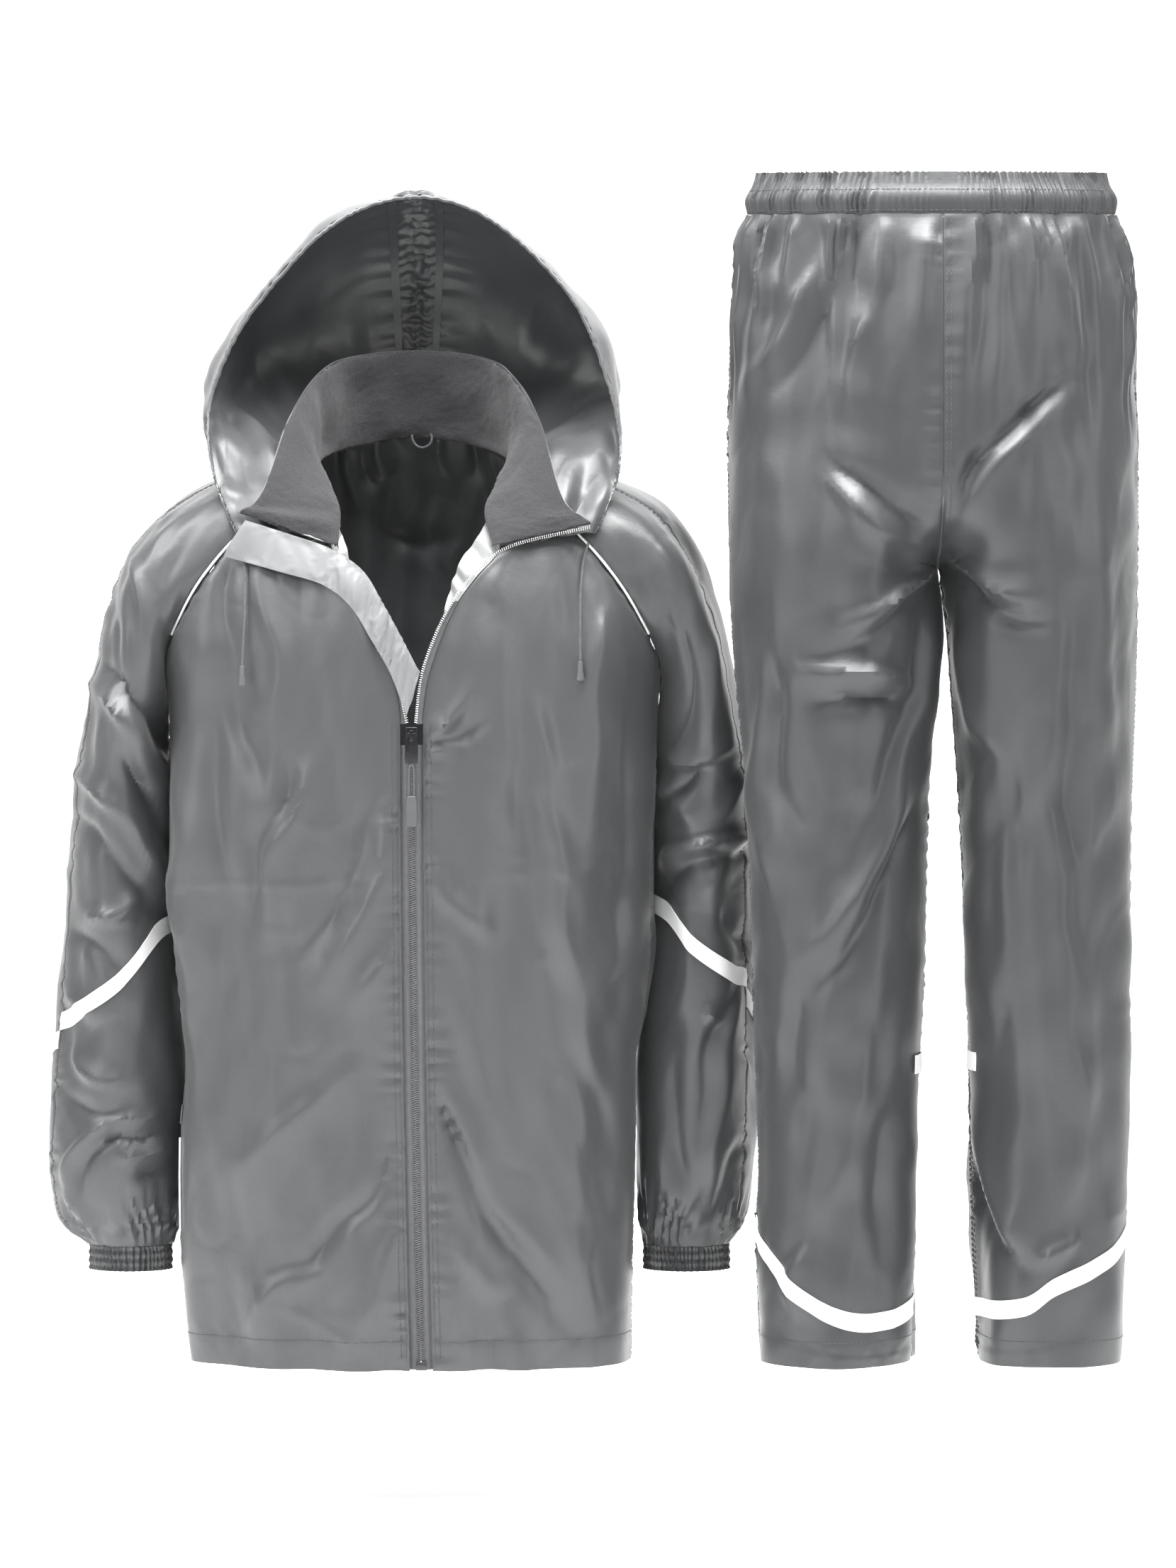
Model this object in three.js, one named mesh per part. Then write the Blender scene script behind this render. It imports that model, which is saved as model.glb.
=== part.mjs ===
// Rain suit: a hooded jacket and trousers, filled out as when worn.
// Millimetres. X runs to the viewer's right, Y away from the viewer and Z up.
// The origin lies between the shoulders, where the wearer holds the jacket up.

import * as THREE from 'three';

// Cloth, seams and how fine the walls are
const CLOTH = 1.4;
const FLEECE = 2.4;
const TRIM = 1.0;
const SEAM_GAP = 0.36;
const LIFT = 0.5;
const LINING_GAP = 0.65;
const STEP = 1e-3;

// Driving dimensions of the jacket
const HEM_Z = -746;
const ARMPIT_Z = -190;
const ARMPIT_ROW = 6;
const ARMPIT_EASE = 1;
const TOP_ROW = 6;
const CUFF_ROW = 15;
const SLEEVE_ROW_DROP = 51.3;
const STRIPE_WIDTH = 16;
const CUFF_HEIGHT = 21;
const CUFF_RIBS = 26;
const ZIP_HALF = 9.5;
const FACING_SHIFT = 0.8;
const ZIP_DRIFT = 7.5;
const COIL_THICKNESS = 2.2;
const COIL_HALF = 3;
const SLIDER_Z = -207;
const ROUNDNESS = 2.3;
const HOOD_WAVES = 14;
const HOOD_STRIP = 0.045;
const HOOD_HEM = 0.02;
const RIM_HEM = 1.8;
const RIM_CLEARANCE = 0.002;
const GATHER_HEIGHT = 1.6;
const PIPING_RADIUS = 0.9;
const VALLEY_LIMIT = 0.6;

// Zip slider, pull and small parts
const SLIDER_HEIGHT = 15;
const SLIDER_DEPTH = 3;
const SLIDER_Y = -129.6;
const BRIDGE_WIDTH = 2.4;
const PULL_Y = -134.6;
const PULL_Z = -206;
const GRIP_Z = -257.36;
const OPEN_COIL_RADIUS = 1.5;
const COIL_RAISE = 1.2;
const BOTTOM_BOX = { width: 9, depth: 4, height: 7 };
const FRONT_COLUMNS = 9;
const POCKET = { share: 8 / FRONT_COLUMNS, top: -0.64, bottom: -0.8, cordTop: -0.6, cordBottom: -0.634 };
const SLIDER_OUTLINE = [[-5, 7.5], [5, 7.5], [5, 1], [3.6, -7.5], [-3.6, -7.5], [-5, 1]];
const BRIDGE_OUTLINE = [[0, 5], [4.2, 5], [4.2, -5], [0, -5], [0, -3.6], [2.8, -3.6], [2.8, 3.6], [0, 3.6]];
const PULL_OUTLINE = [[-3.4, 1.6], [3.4, 1.6], [5.6, -4], [5.6, -24], [-5.6, -24], [-5.6, -4]];
const PULL_SLOT = [[-2.2, 0.2], [-2.2, -6.4], [2.2, -6.4], [2.2, 0.2]];
const GRIP_OUTLINE = [[-3.2, 0], [3.2, 0], [4.6, -6], [4.6, -24], [3.4, -26], [-3.4, -26], [-4.6, -24],
  [-4.6, -6]];
const PULL_THICKNESS = 1.2;
const GRIP_THICKNESS = 3;
const PULL_CORD_RADIUS = 0.9;
const PULL_CORD_ROUTE = [[-2, -257], [-2, -234], [0, -231.3], [2, -234], [2, -257]];
const CORD_END_PROFILE = [[0, -17], [3.4, -17], [4, -16], [2.6, -9], [2.4, -2], [1.8, 0], [0, 0]];
const HANGER_RADIUS = 1.1;
const HANGER_ROUTE = [[-3, 72, 46.2], [-3.4, 69.5, 41], [0, 69, 35], [6, 69, 33], [12, 69, 36],
  [13.6, 69, 41], [12.6, 70.4, 45.6]];
const CUFF = {
  left: { x: 246, half: 35, y: 26, depth: 31, z: -652.6 },
  right: { x: 233.5, half: 36.5, y: 26, depth: 31, z: -652.6 },
};

// Driving dimensions of the trousers
const TROUSERS_X = 444.5;
const TROUSERS_Y = -84;
const WAIST_SEAM_Z = 231;
const LEG_HEM_Z = -738;
const CROTCH_Z = -68;
const RISE_START_Z = 60;
const LEG_ROWS = 13;
const CROTCH_ROWS = [-66, -48, -26, 4, 60];
const WAIST_RIBS = 78;
const RIB_HEIGHT = 1.5;
const PANEL_GATHERS = 5;
const GATHER_DEPTH = 2.5;
const GATHER_END_Z = 140;

// Colours and finishes
const cloth = new THREE.MeshStandardMaterial({ color: 0x6c6f71, roughness: 0.42, metalness: 0 });
const trouserCloth = new THREE.MeshStandardMaterial({ color: 0x626467, roughness: 0.45, metalness: 0 });
const silver = new THREE.MeshStandardMaterial({ color: 0xc8cacb, roughness: 0.35, metalness: 0.1 });
const fleece = new THREE.MeshStandardMaterial({ color: 0x55565a, roughness: 1, metalness: 0 });
const reflective = new THREE.MeshStandardMaterial({ color: 0xf2f2f2, roughness: 0.5, metalness: 0 });
const tape = new THREE.MeshStandardMaterial({ color: 0x5c5e60, roughness: 0.8, metalness: 0 });
const coilPlastic = new THREE.MeshStandardMaterial({ color: 0x4d4f51, roughness: 0.5, metalness: 0 });
const metal = new THREE.MeshStandardMaterial({ color: 0x55585a, roughness: 0.3, metalness: 1 });
const cordMaterial = new THREE.MeshStandardMaterial({ color: 0x707274, roughness: 0.7, metalness: 0 });
const gripRubber = new THREE.MeshStandardMaterial({ color: 0x606265, roughness: 0.6, metalness: 0 });

const group = new THREE.Group();

// A table has named columns, and its first column is the place that the others are read at
function table(columns, rows) {
  return { columns, rows };
}

// Places of the body below the armpit: half widths on each side, and the front, side and back depth
const BODY = table(['z', 'left', 'right', 'front', 'side', 'back'], [
  [-746, 190, 185, -116, -22, 112],
  [-640, 200, 187, -120, -24, 116],
  [-545, 198, 189, -122, -25, 118],
  [-487, 195, 189, -123, -25, 119],
  [-428, 202, 199, -125, -25, 121],
  [-383, 206, 202, -126, -25, 123],
  [-312, 208, 203, -128, -22, 125],
  [-250, 210, 206, -129, -10, 126],
  [-190, 210, 208, -128, 8, 125],
]);

// Edge of each front from the armpit row up to the top of the raglan seam
const EDGE = {
  left: table(['row', 'x', 'z', 'y'], [
    [0, 9.5, -190, -128],
    [0.5, 14, -160, -129],
    [1, 22, -132, -128],
    [2, 36, -100, -123],
    [3, 52, -76, -115],
    [4, 69, -48, -101],
    [5, 68, -22, -79],
    [6, 71.5, -2.5, -57],
  ]),
  right: table(['row', 'x', 'z', 'y'], [
    [0, 9.5, -190, -128],
    [0.5, 14, -160, -129],
    [1, 24, -129, -128],
    [2, 37, -99, -123],
    [3, 54, -75, -115],
    [4, 75, -49, -101],
    [5, 70, -22, -79],
    [6, 72.5, -2.5, -57],
  ]),
};

// Centre of the back from the armpit row up to the neck
const BACK_CENTRE = table(['row', 'z', 'y'], [
  [0, -190, 125],
  [0.5, -150, 124],
  [1, -112, 122],
  [2, -64, 116],
  [3, -24, 107],
  [4, 12, 94],
  [5, 34, 82],
  [6, 46, 74],
]);

// Sleeves from the neck row to the cuff row: line over the arm, the two raglan seams, then depth and wrap
const SLEEVE_COLUMNS = ['row', 'overX', 'overZ', 'frontX', 'frontZ', 'backX', 'backZ', 'y', 'depth', 'wrap'];
const SLEEVE = {
  left: table(SLEEVE_COLUMNS, [
    [0, 84, 25, 76, 0, 58, 38, 1, 60, 62],
    [1, 128, 17, 113, -14, 98, 16, 2, 70, 76],
    [2, 170, 6, 150, -45, 138, -20, 4, 78, 90],
    [3, 213, -18, 178, -79, 170, -62, 5, 80, 104],
    [4, 243, -53, 196, -109, 192, -98, 6, 81, 124],
    [5, 262, -105, 209, -137, 206, -133, 6, 82, 148],
    [5.5, 269, -142, 212, -158, 211, -156, 6, 82, 164],
    [6, 277, -190, 211, -190, 211, -190, 8, 81, 180],
    [7, 288, -241, 210, -241, 210, -241, 20, 80, 180],
    [8, 294, -293, 207, -293, 207, -293, 30, 78, 180],
    [9, 299, -344, 206, -344, 206, -344, 34, 76, 180],
    [10, 304, -395, 204, -395, 204, -395, 34, 75, 180],
    [11, 309, -447, 200, -447, 200, -447, 33, 74, 180],
    [12, 312, -498, 196, -498, 196, -498, 32, 72, 180],
    [13, 313, -549, 198, -549, 198, -549, 30, 70, 180],
    [14, 311, -601, 201, -601, 201, -601, 28, 64, 180],
    [14.6, 302, -632, 204, -632, 204, -632, 27, 50, 180],
    [15, 283, -652, 210, -652, 210, -652, 26, 32, 180],
  ]),
  right: table(SLEEVE_COLUMNS, [
    [0, 84, 25, 77, 0, 58, 38, 1, 60, 62],
    [1, 130, 17, 112, -16, 98, 16, 2, 70, 76],
    [2, 174, 4, 148, -50, 136, -22, 4, 78, 90],
    [3, 215, -18, 172, -80, 166, -62, 5, 80, 104],
    [4, 241, -52, 190, -108, 188, -98, 6, 81, 124],
    [5, 259, -102, 205, -137, 203, -133, 6, 82, 148],
    [5.5, 268, -142, 210.5, -158, 209, -156, 6, 82, 164],
    [6, 278, -190, 209, -190, 209, -190, 8, 81, 180],
    [7, 287, -241, 206, -241, 206, -241, 20, 80, 180],
    [8, 291, -293, 203, -293, 203, -293, 30, 78, 180],
    [9, 293, -344, 202, -344, 202, -344, 34, 76, 180],
    [10, 295, -395, 200, -395, 200, -395, 34, 75, 180],
    [11, 296, -447, 195, -447, 195, -447, 33, 74, 180],
    [12, 296, -498, 190, -498, 190, -498, 32, 72, 180],
    [13, 295, -549, 190, -549, 190, -549, 30, 70, 180],
    [14, 289, -601, 191, -601, 191, -601, 28, 64, 180],
    [14.6, 281, -632, 194, -632, 194, -632, 27, 50, 180],
    [15, 270, -652, 197, -652, 197, -652, 26, 32, 180],
  ]),
};

// Sleeve stripe: its row, and how many rows it drops at each place round the sleeve
const STRIPE_ROW = 10.34;
const STRIPE_ROWS = STRIPE_WIDTH / SLEEVE_ROW_DROP;
const OVER_ARM = { left: -0.1, right: -0.2 };
const STRIPE_DROP = {
  left: table(['turn', 'rows'], [[-1, -0.95], [-0.75, -0.78], [-0.5, 0.05], [-0.25, 0.58], [-0.1, 0.74],
    [0.2, 1.1], [0.6, 0.6], [1, -0.95]]),
  right: table(['turn', 'rows'], [[-1, -1.3], [-0.75, -1.1], [-0.5, -0.45], [-0.32, -0.1], [-0.2, 0],
    [0, 0.6], [0.5, 0.6], [1, -1.3]]),
};

// Trousers: half widths to the outer and inner edge of each leg, and depth to the front and back
const LEGS = table(['z', 'left', 'right', 'leftIn', 'rightIn', 'front', 'back'], [
  [-738, 147.6, 155.6, 22.2, 36, 80, 82],
  [-681, 151.8, 157.5, 21.8, 33, 82, 84],
  [-628, 153, 159, 20.5, 31, 82, 84],
  [-574, 151.2, 160.8, 19, 29.4, 82, 84],
  [-520, 153, 163, 16.5, 28, 82, 84],
  [-413, 156.6, 162.6, 10.8, 25.5, 84, 86],
  [-268, 160.8, 164.4, 7.5, 18, 88, 92],
  [-175, 169.8, 167.4, 3.5, 11.5, 94, 100],
  [-122, 174, 168.6, 2, 8, 98, 108],
  [-68, 175.8, 169, 0.6, 1.8, 104, 117],
  [32, 177.6, 168.6, 0, 0, 112, 126],
  [91, 177, 165.6, 0, 0, 112, 124],
  [149, 174.6, 164.4, 0, 0, 108, 118],
  [201, 170, 158, 0, 0, 98, 106],
  [231, 162, 150, 0, 0, 88, 92],
]);

// Leg stripes: nominal height, and how far they lie above it at each share of the way to the inner leg
const LEG_STRIPE = {
  front: {
    z: -660,
    reach: [-400, -738],
    left: table(['share', 'rise'], [[0, 36], [0.2, 8], [0.45, -30], [0.65, -40], [1, -28]]),
    right: table(['share', 'rise'], [[0, 42], [0.3, 8], [0.5, -10], [0.62, -26], [1, -34]]),
  },
  back: {
    z: -545,
    reach: [-250, -738],
    left: table(['share', 'rise'], [[0, -62], [0.3, -40], [0.7, 40], [1, 60]]),
    right: table(['share', 'rise'], [[0, -59], [0.3, -38], [0.7, 42], [1, 62]]),
  },
};

// Share at which a back leg stripe ends, past the inner seam and round onto the front
const STRIPE_TAB_END = { left: 1.15, right: 1.13 };

// Waistband from its seam to its ruffled top: how far it stands out, and the share of the rib height
const WAISTBAND = table(['z', 'out', 'ribs'], [
  [231.6, -0.5, 0.5],
  [244, 0.5, 1],
  [256, -5, 0.4],
  [266, -9, 1],
]);
const WAIST = { left: 162, right: 149, front: 88, back: 92 };
const WAIST_PLAIN_HALF = 9;

// Collar from the left front end, round the back, to the right front end
const COLLAR = table(['place', 'seamX', 'seamY', 'seamZ', 'topX', 'topY', 'topZ'], [
  [-1, -69, -106, -46, -147, -90, -20],
  [-0.82, -66.5, -85.5, -19, -128, -80, -4],
  [-0.62, -74, -51, 4.5, -107, -38, 58],
  [-0.42, -83, 2, 27, -84, 10, 95],
  [-0.22, -56, 53.5, 40, -58, 48, 111],
  [0, 0, 73, 47.5, 0, 66, 117],
  [0.22, 56, 53.5, 40, 58, 48, 111],
  [0.42, 83, 2, 27, 84, 10, 95],
  [0.62, 74, -51, 4.5, 108, -38, 56],
  [0.82, 66.5, -85.5, -19, 128, -80, -8],
  [1, 75, -106, -47, 152, -90, -29],
]);

// Hood from its left foot over the crown to its right foot: rim, two shaping points and the neck edge
const HOOD_COLUMNS = ['place', 'rimX', 'rimY', 'rimZ', 'shapeX', 'shapeY', 'shapeZ',
  'fullX', 'fullY', 'fullZ', 'neckX', 'neckY', 'neckZ'];
const HOOD = table(HOOD_COLUMNS, [
  [-1, -148, -79, -41, -126, -88, -39, -100, -96, -42, -73, -102, -47],
  [-0.88, -159, -68, -18, -140, -62, 2, -116, -67, 5, -72, -84, -27],
  [-0.76, -170, -48, 10, -164, -6, 40, -136, -4, 55, -77.5, -63.5, -5],
  [-0.64, -176, -28, 47, -186, 44, 70, -150, 60, 74, -84, -32, 16],
  [-0.5, -170, -10, 88, -194, 84, 118, -150, 130, 66, -87, 4, 28.6],
  [-0.34, -140, 4, 148, -160, 112, 190, -118, 176, 84, -72, 41, 38],
  [-0.16, -70, 12, 224, -84, 126, 258, -62, 198, 96, -36, 69, 46],
  [0, 0, 14, 248, 0, 130, 282, 0, 204, 100, 0, 75.5, 49.5],
  [0.16, 66, 12, 228, 80, 126, 260, 60, 198, 96, 36, 69, 46],
  [0.34, 134, 4, 162, 158, 112, 192, 118, 176, 84, 72, 41, 38],
  [0.5, 164, -10, 94, 192, 84, 118, 150, 130, 66, 87, 4, 28.6],
  [0.64, 176, -28, 44, 186, 44, 66, 150, 60, 72, 84, -32, 16.5],
  [0.76, 175, -48, 12, 164, -6, 38, 136, -4, 55, 77.5, -63.5, -4],
  [0.88, 166, -68, -14, 146, -62, 2, 118, -67, 5, 72, -84, -27],
  [1, 155, -79, -38, 132, -88, -37, 104, -96, -42, 79, -101.5, -48],
]);

// Storm flap turned out along the left edge, from the slider to the top of the collar
const FLAP = table(['place', 'innerX', 'innerY', 'innerZ', 'outerX', 'outerY', 'outerZ'], [
  [0, 7, -136, -153, -4, -136, -190],
  [0.2, -8, -135, -124, -18, -134, -154],
  [0.4, -24, -130, -95, -34, -132, -126],
  [0.6, -42, -120, -67, -52, -125, -98],
  [0.75, -70, -109, -49, -76, -117, -80],
  [0.88, -106, -100, -37, -114, -107, -69],
  [1, -141, -93, -26, -160, -87, -57],
]);

// Light facing inside each neck edge: row on the front's edge, and how far it reaches into the opening
const FACING = {
  left: table(['row', 'inX', 'inY', 'inZ'], [
    [3, -2, 3, 2],
    [3.75, -9, 10, 9],
    [4.5, -6, 12, 10],
  ]),
  right: table(['row', 'inX', 'inY', 'inZ'], [
    [1.5, -3, 4, 6],
    [2.6, -10, 11, 13],
    [3.75, -14, 15, 18],
    [4.5, -10, 16, 20],
  ]),
};

// Open coil and tape on each side, from the slider up the edge and along the collar's front end
const OPEN_ZIP = {
  left: table(['place', 'x', 'y', 'z'], [
    [0, -3.6, -130, -197],
    [0.3, -11.8, -129.6, -160],
    [0.6, -19.8, -129.3, -130],
  ]),
  right: table(['place', 'x', 'y', 'z'], [
    [0, 3.4, -132, -197],
    [0.16, 8, -133.5, -158],
    [0.32, 19, -132.5, -125],
    [0.48, 33, -128, -97],
    [0.64, 51, -121, -73],
    [0.78, 82, -107.6, -48.6],
    [1, 151, -92, -32],
  ]),
};

// Drawcords: free length from the eyelet in the hood's corner to the bell end
const CORD_DIAMETER = 2.4;
const CORD_SIDES = 8;
const DRAWCORD = {
  left: [[-146, -82.5, -45], [-144, -86.5, -51], [-142, -91.5, -62], [-141, -99.5, -80], [-141, -105, -100],
    [-142, -109.8, -125], [-143, -112.5, -148]],
  right: [[149, -82.5, -46], [146.5, -86.2, -53], [144, -91.2, -66], [142.5, -98.9, -84],
    [142, -103.8, -102], [142, -108.3, -124], [142, -111.8, -144]],
};

// Hand-placed folds as seen from one side: two ends, half width, and height, which is negative in a trough
const FOLD_COLUMNS = ['x1', 'z1', 'x2', 'z2', 'wide', 'high'];
const FRONT_FOLDS = [
  [-196, -190, -176, -480, 12, 4],
  [-168, -90, -140, -240, 12, -3.5],
  [-85, -236, -124, -362, 13, 4],
  [-12, -262, -74, -412, 14, 4],
  [-12, -545, -100, -660, 15, -4],
  [-96, -660, -138, -716, 12, 4],
  [12, -210, 46, -172, 8, 4],
  [12, -226, 38, -222, 7, 3],
  [108, -225, 160, -512, 16, 4.5],
  [16, -498, 126, -690, 17, -4],
  [40, -640, 72, -684, 10, 3],
];
const BACK_FOLDS = [
  [-150, -120, -90, -330, 16, 4],
  [140, -110, 96, -300, 16, 4],
  [-40, -300, -70, -560, 18, -4],
  [60, -260, 30, -520, 18, 4],
  [-130, -480, -100, -700, 15, 4],
  [130, -460, 100, -690, 16, -4],
];
const TROUSER_FRONT_FOLDS = [
  [-108, 192, -156, 94, 11, 5],
  [-64, 146, -80, 70, 9, 4],
  [-84, 24, -12, -20, 12, -6],
  [-4, -54, -76, -112, 11, 6],
  [-30, -158, -112, -152, 12, 5],
  [-6, -94, -66, -294, 14, 5],
  [-24, -270, -96, -410, 14, -5],
  [-142, -150, -122, -288, 12, -5],
  [-130, -620, -112, -668, 14, 5],
  [102, 92, 24, 14, 12, -6],
  [10, -54, 74, -86, 11, 6],
  [34, -534, 78, -640, 13, 5],
  [84, -648, 116, -630, 9, 4],
  [110, -120, 124, -420, 15, -4],
  [100, 200, 118, 110, 9, 4],
];
const TROUSER_BACK_FOLDS = [
  [-100, 190, -140, 60, 12, 5],
  [100, 190, 140, 60, 12, 5],
  [-14, -60, -90, -100, 13, -6],
  [14, -60, 90, -104, 13, -6],
  [-100, -380, -50, -430, 12, 5],
  [100, -390, 56, -436, 12, 5],
  [-80, -180, -110, -360, 15, 4],
  [84, -170, 116, -350, 15, 4],
];

// Folds of each sleeve, at places counted round the arm (turn) and down it (row)
const SLEEVE_FOLDS = {
  left: [
    [-0.62, 5.6, -0.3, 7.2, 9, 5],
    [-0.75, 5.2, -0.5, 8.2, 10, -5],
    [-0.28, 7.2, -0.62, 9.2, 11, -6],
    [-0.1, 8.4, -0.7, 10.4, 11, 6],
    [-0.35, 11.6, -0.62, 12.3, 9, 5],
    [-0.2, 12.9, -0.7, 12.7, 10, -6],
    [-0.16, 13.7, -0.66, 13.4, 9, 6],
    [0.3, 7, 0.7, 9, 12, 5],
    [0.2, 9.6, 0.6, 11.4, 12, -5],
    [0.25, 12.6, 0.75, 13, 11, 6],
  ],
  right: [
    [-0.5, 5.4, -0.7, 8, 10, 5],
    [-0.2, 7.4, -0.62, 8.6, 9, 6],
    [-0.15, 8.6, -0.66, 9.6, 10, -6],
    [-0.1, 9.3, -0.6, 10, 9, 5],
    [-0.22, 11.2, -0.45, 14, 10, 4],
    [-0.6, 12, -0.4, 13.8, 10, -4],
    [0.3, 7, 0.7, 9, 12, 5],
    [0.2, 9.8, 0.6, 11.2, 12, -5],
    [0.25, 12.6, 0.75, 13, 11, 6],
  ],
};
const TURN_WIDTH = 200;

const lerp = THREE.MathUtils.lerp;
const radians = THREE.MathUtils.degToRad;
const smooth = (value) => THREE.MathUtils.smoothstep(value, 0, 1);
const sideSign = { left: -1, right: 1 };

// All the columns of a table at one place, on a smooth curve through its rows
function rowAt(source, place) {
  const { columns, rows } = source;
  const last = rows.length - 1;
  let index = 0;
  while (index < last - 1 && rows[index + 1][0] < place) index += 1;
  const slope = (at, column) => {
    const before = rows[Math.max(at - 1, 0)];
    const after = rows[Math.min(at + 1, last)];
    return (after[column] - before[column]) / (after[0] - before[0]);
  };
  const start = rows[index];
  const end = rows[index + 1];
  const span = end[0] - start[0];
  const t = THREE.MathUtils.clamp((place - start[0]) / span, 0, 1);
  const result = {};
  columns.forEach((name, column) => {
    const atStart = (2 * t ** 3 - 3 * t ** 2 + 1) * start[column];
    const atEnd = (3 * t ** 2 - 2 * t ** 3) * end[column];
    const leaving = (t ** 3 - 2 * t ** 2 + t) * span * slope(index, column);
    const arriving = (t ** 3 - t ** 2) * span * slope(index + 1, column);
    result[name] = atStart + atEnd + leaving + arriving;
  });
  return result;
}

// Height of the folds at one place: each fades to nothing across its width and at its ends
function foldHeight(folds, x, z) {
  let height = 0;
  for (const [x1, z1, x2, z2, wide, high] of folds) {
    const length = Math.hypot(x2 - x1, z2 - z1);
    const alongX = (x2 - x1) / length;
    const alongZ = (z2 - z1) / length;
    const along = ((x - x1) * alongX + (z - z1) * alongZ) / length;
    const across = (x - x1) * alongZ - (z - z1) * alongX;
    if (along > -0.2 && along < 1.2) {
      const taper = smooth((along + 0.2) / 0.45) * smooth((1.2 - along) / 0.45);
      height += high * taper * Math.exp(-((across / wide) ** 2));
    }
  }
  return height;
}

// Direction square to a surface at one place, on the side that the sign picks
function squareTo(surface, u, v, sign) {
  const right = surface(u + STEP, v).sub(surface(u - STEP, v));
  const up = surface(u, v + STEP).sub(surface(u, v - STEP));
  return right.cross(up).normalize().multiplyScalar(sign);
}

// A surface moved out along its own square direction
function moved(surface, distance, sign) {
  return (u, v) => surface(u, v).addScaledVector(squareTo(surface, u, v, sign), distance(u, v));
}

// Evenly spaced places between two ends
function spread(from, to, count) {
  return Array.from({ length: count + 1 }, (_, index) => lerp(from, to, index / count));
}

function addMesh(name, material, geometry) {
  const mesh = new THREE.Mesh(geometry, material);
  mesh.name = name;
  group.add(mesh);
  return mesh;
}

// Puts one closed solid into the group, its faces turned out
function addSolid(name, material, positions, triangles) {
  let volume = 0;
  const corner = (index) => new THREE.Vector3(...positions[index]);
  for (const [a, b, c] of triangles) {
    volume += corner(a).dot(corner(b).cross(corner(c)));
  }
  const facing = volume < 0 ? triangles.map(([a, b, c]) => [a, c, b]) : triangles;
  const geometry = new THREE.BufferGeometry();
  geometry.setAttribute('position', new THREE.Float32BufferAttribute(positions.flat(), 3));
  geometry.setIndex(facing.flat());
  geometry.computeVertexNormals();
  addMesh(name, material, geometry);
}

// A wall with an outer side on a surface and an inner side a thickness behind it.
// Its edges stand back by half a seam gap. A closed wall runs all the way round.
function wall(name, material, surface, columns, rows, options = {}) {
  const { thickness = CLOTH, sign = 1, closed = false, outAt = () => null } = options;
  const across = columns.length;
  const up = rows.length;
  const grid = rows.map((v) => columns.map((u) => surface(u, v)));
  const outer = [];
  const inner = [];
  const standBack = (point, neighbour) => neighbour.clone().sub(point).setLength(SEAM_GAP / 2);
  rows.forEach((v, row) => columns.forEach((u, column) => {
    const point = grid[row][column].clone();
    const out = outAt(column, u, v) ?? squareTo(surface, u, v, sign);
    if (!closed && column === 0) point.add(standBack(grid[row][0], grid[row][1]));
    if (!closed && column === across - 1) {
      point.add(standBack(grid[row][across - 1], grid[row][across - 2]));
    }
    if (row === 0) point.add(standBack(grid[0][column], grid[1][column]));
    if (row === up - 1) point.add(standBack(grid[up - 1][column], grid[up - 2][column]));
    outer.push(point.toArray());
    inner.push(point.addScaledVector(out, -thickness).toArray());
  }));
  const size = outer.length;
  const triangles = [];
  const quad = (a, b, c, d) => triangles.push([a, b, c], [a, c, d]);
  const lastColumn = closed ? across : across - 1;
  for (let row = 0; row < up - 1; row += 1) {
    for (let column = 0; column < lastColumn; column += 1) {
      const next = (column + 1) % across;
      const low = row * across;
      const high = low + across;
      quad(low + column, low + next, high + next, high + column);
      quad(size + low + column, size + high + column, size + high + next, size + low + next);
    }
  }
  for (let column = 0; column < lastColumn; column += 1) {
    const next = (column + 1) % across;
    const top = (up - 1) * across;
    quad(column, size + column, size + next, next);
    quad(top + column, top + next, size + top + next, size + top + column);
  }
  for (let row = 0; row < up - 1 && !closed; row += 1) {
    const low = row * across;
    const high = low + across;
    quad(low, high, size + high, size + low);
    quad(low + across - 1, size + low + across - 1, size + high + across - 1, high + across - 1);
  }
  addSolid(name, material, [...outer, ...inner], triangles);
}

// A straight-sided shape with a closed outline of corners
function outline(corners) {
  const shape = new THREE.Shape();
  shape.setFromPoints(corners.map(([x, y]) => new THREE.Vector2(x, y)));
  return shape;
}

// A rope of a few sides whose rings lie exactly on its centres, each turned to its out direction
function rope(name, material, centres, outs, radius, sides) {
  const last = centres.length - 1;
  const positions = centres.flatMap((centre, index) => {
    const before = centres[Math.max(index - 1, 0)];
    const along = centres[Math.min(index + 1, last)].clone().sub(before).normalize();
    const sideways = along.clone().cross(outs[index]).normalize();
    const up = sideways.clone().cross(along);
    return Array.from({ length: sides }, (_, side) => {
      const angle = (2 * Math.PI * side) / sides;
      return centre.clone().addScaledVector(up, radius * Math.cos(angle))
        .addScaledVector(sideways, radius * Math.sin(angle)).toArray();
    });
  });
  const triangles = [];
  for (let ring = 0; ring < last; ring += 1) {
    for (let side = 0; side < sides; side += 1) {
      const next = (side + 1) % sides;
      const low = ring * sides;
      const high = low + sides;
      triangles.push([low + side, low + next, high + next], [low + side, high + next, high + side]);
    }
  }
  for (let side = 1; side < sides - 1; side += 1) {
    triangles.push([0, side + 1, side]);
    triangles.push([last * sides, last * sides + side, last * sides + side + 1]);
  }
  addSolid(name, material, positions, triangles);
}

// A tube of a few sides through a list of points
function tube(name, material, points, radius, sides, steps) {
  const path = new THREE.CatmullRomCurve3(points);
  const corners = Array.from({ length: sides }, (_, side) => {
    const angle = (2 * Math.PI * side) / sides;
    return [radius * Math.cos(angle), radius * Math.sin(angle)];
  });
  addMesh(name, material, new THREE.ExtrudeGeometry(outline(corners), { steps, extrudePath: path }));
}

const toPoints = (list) => list.map((point) => new THREE.Vector3(...point));

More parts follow.
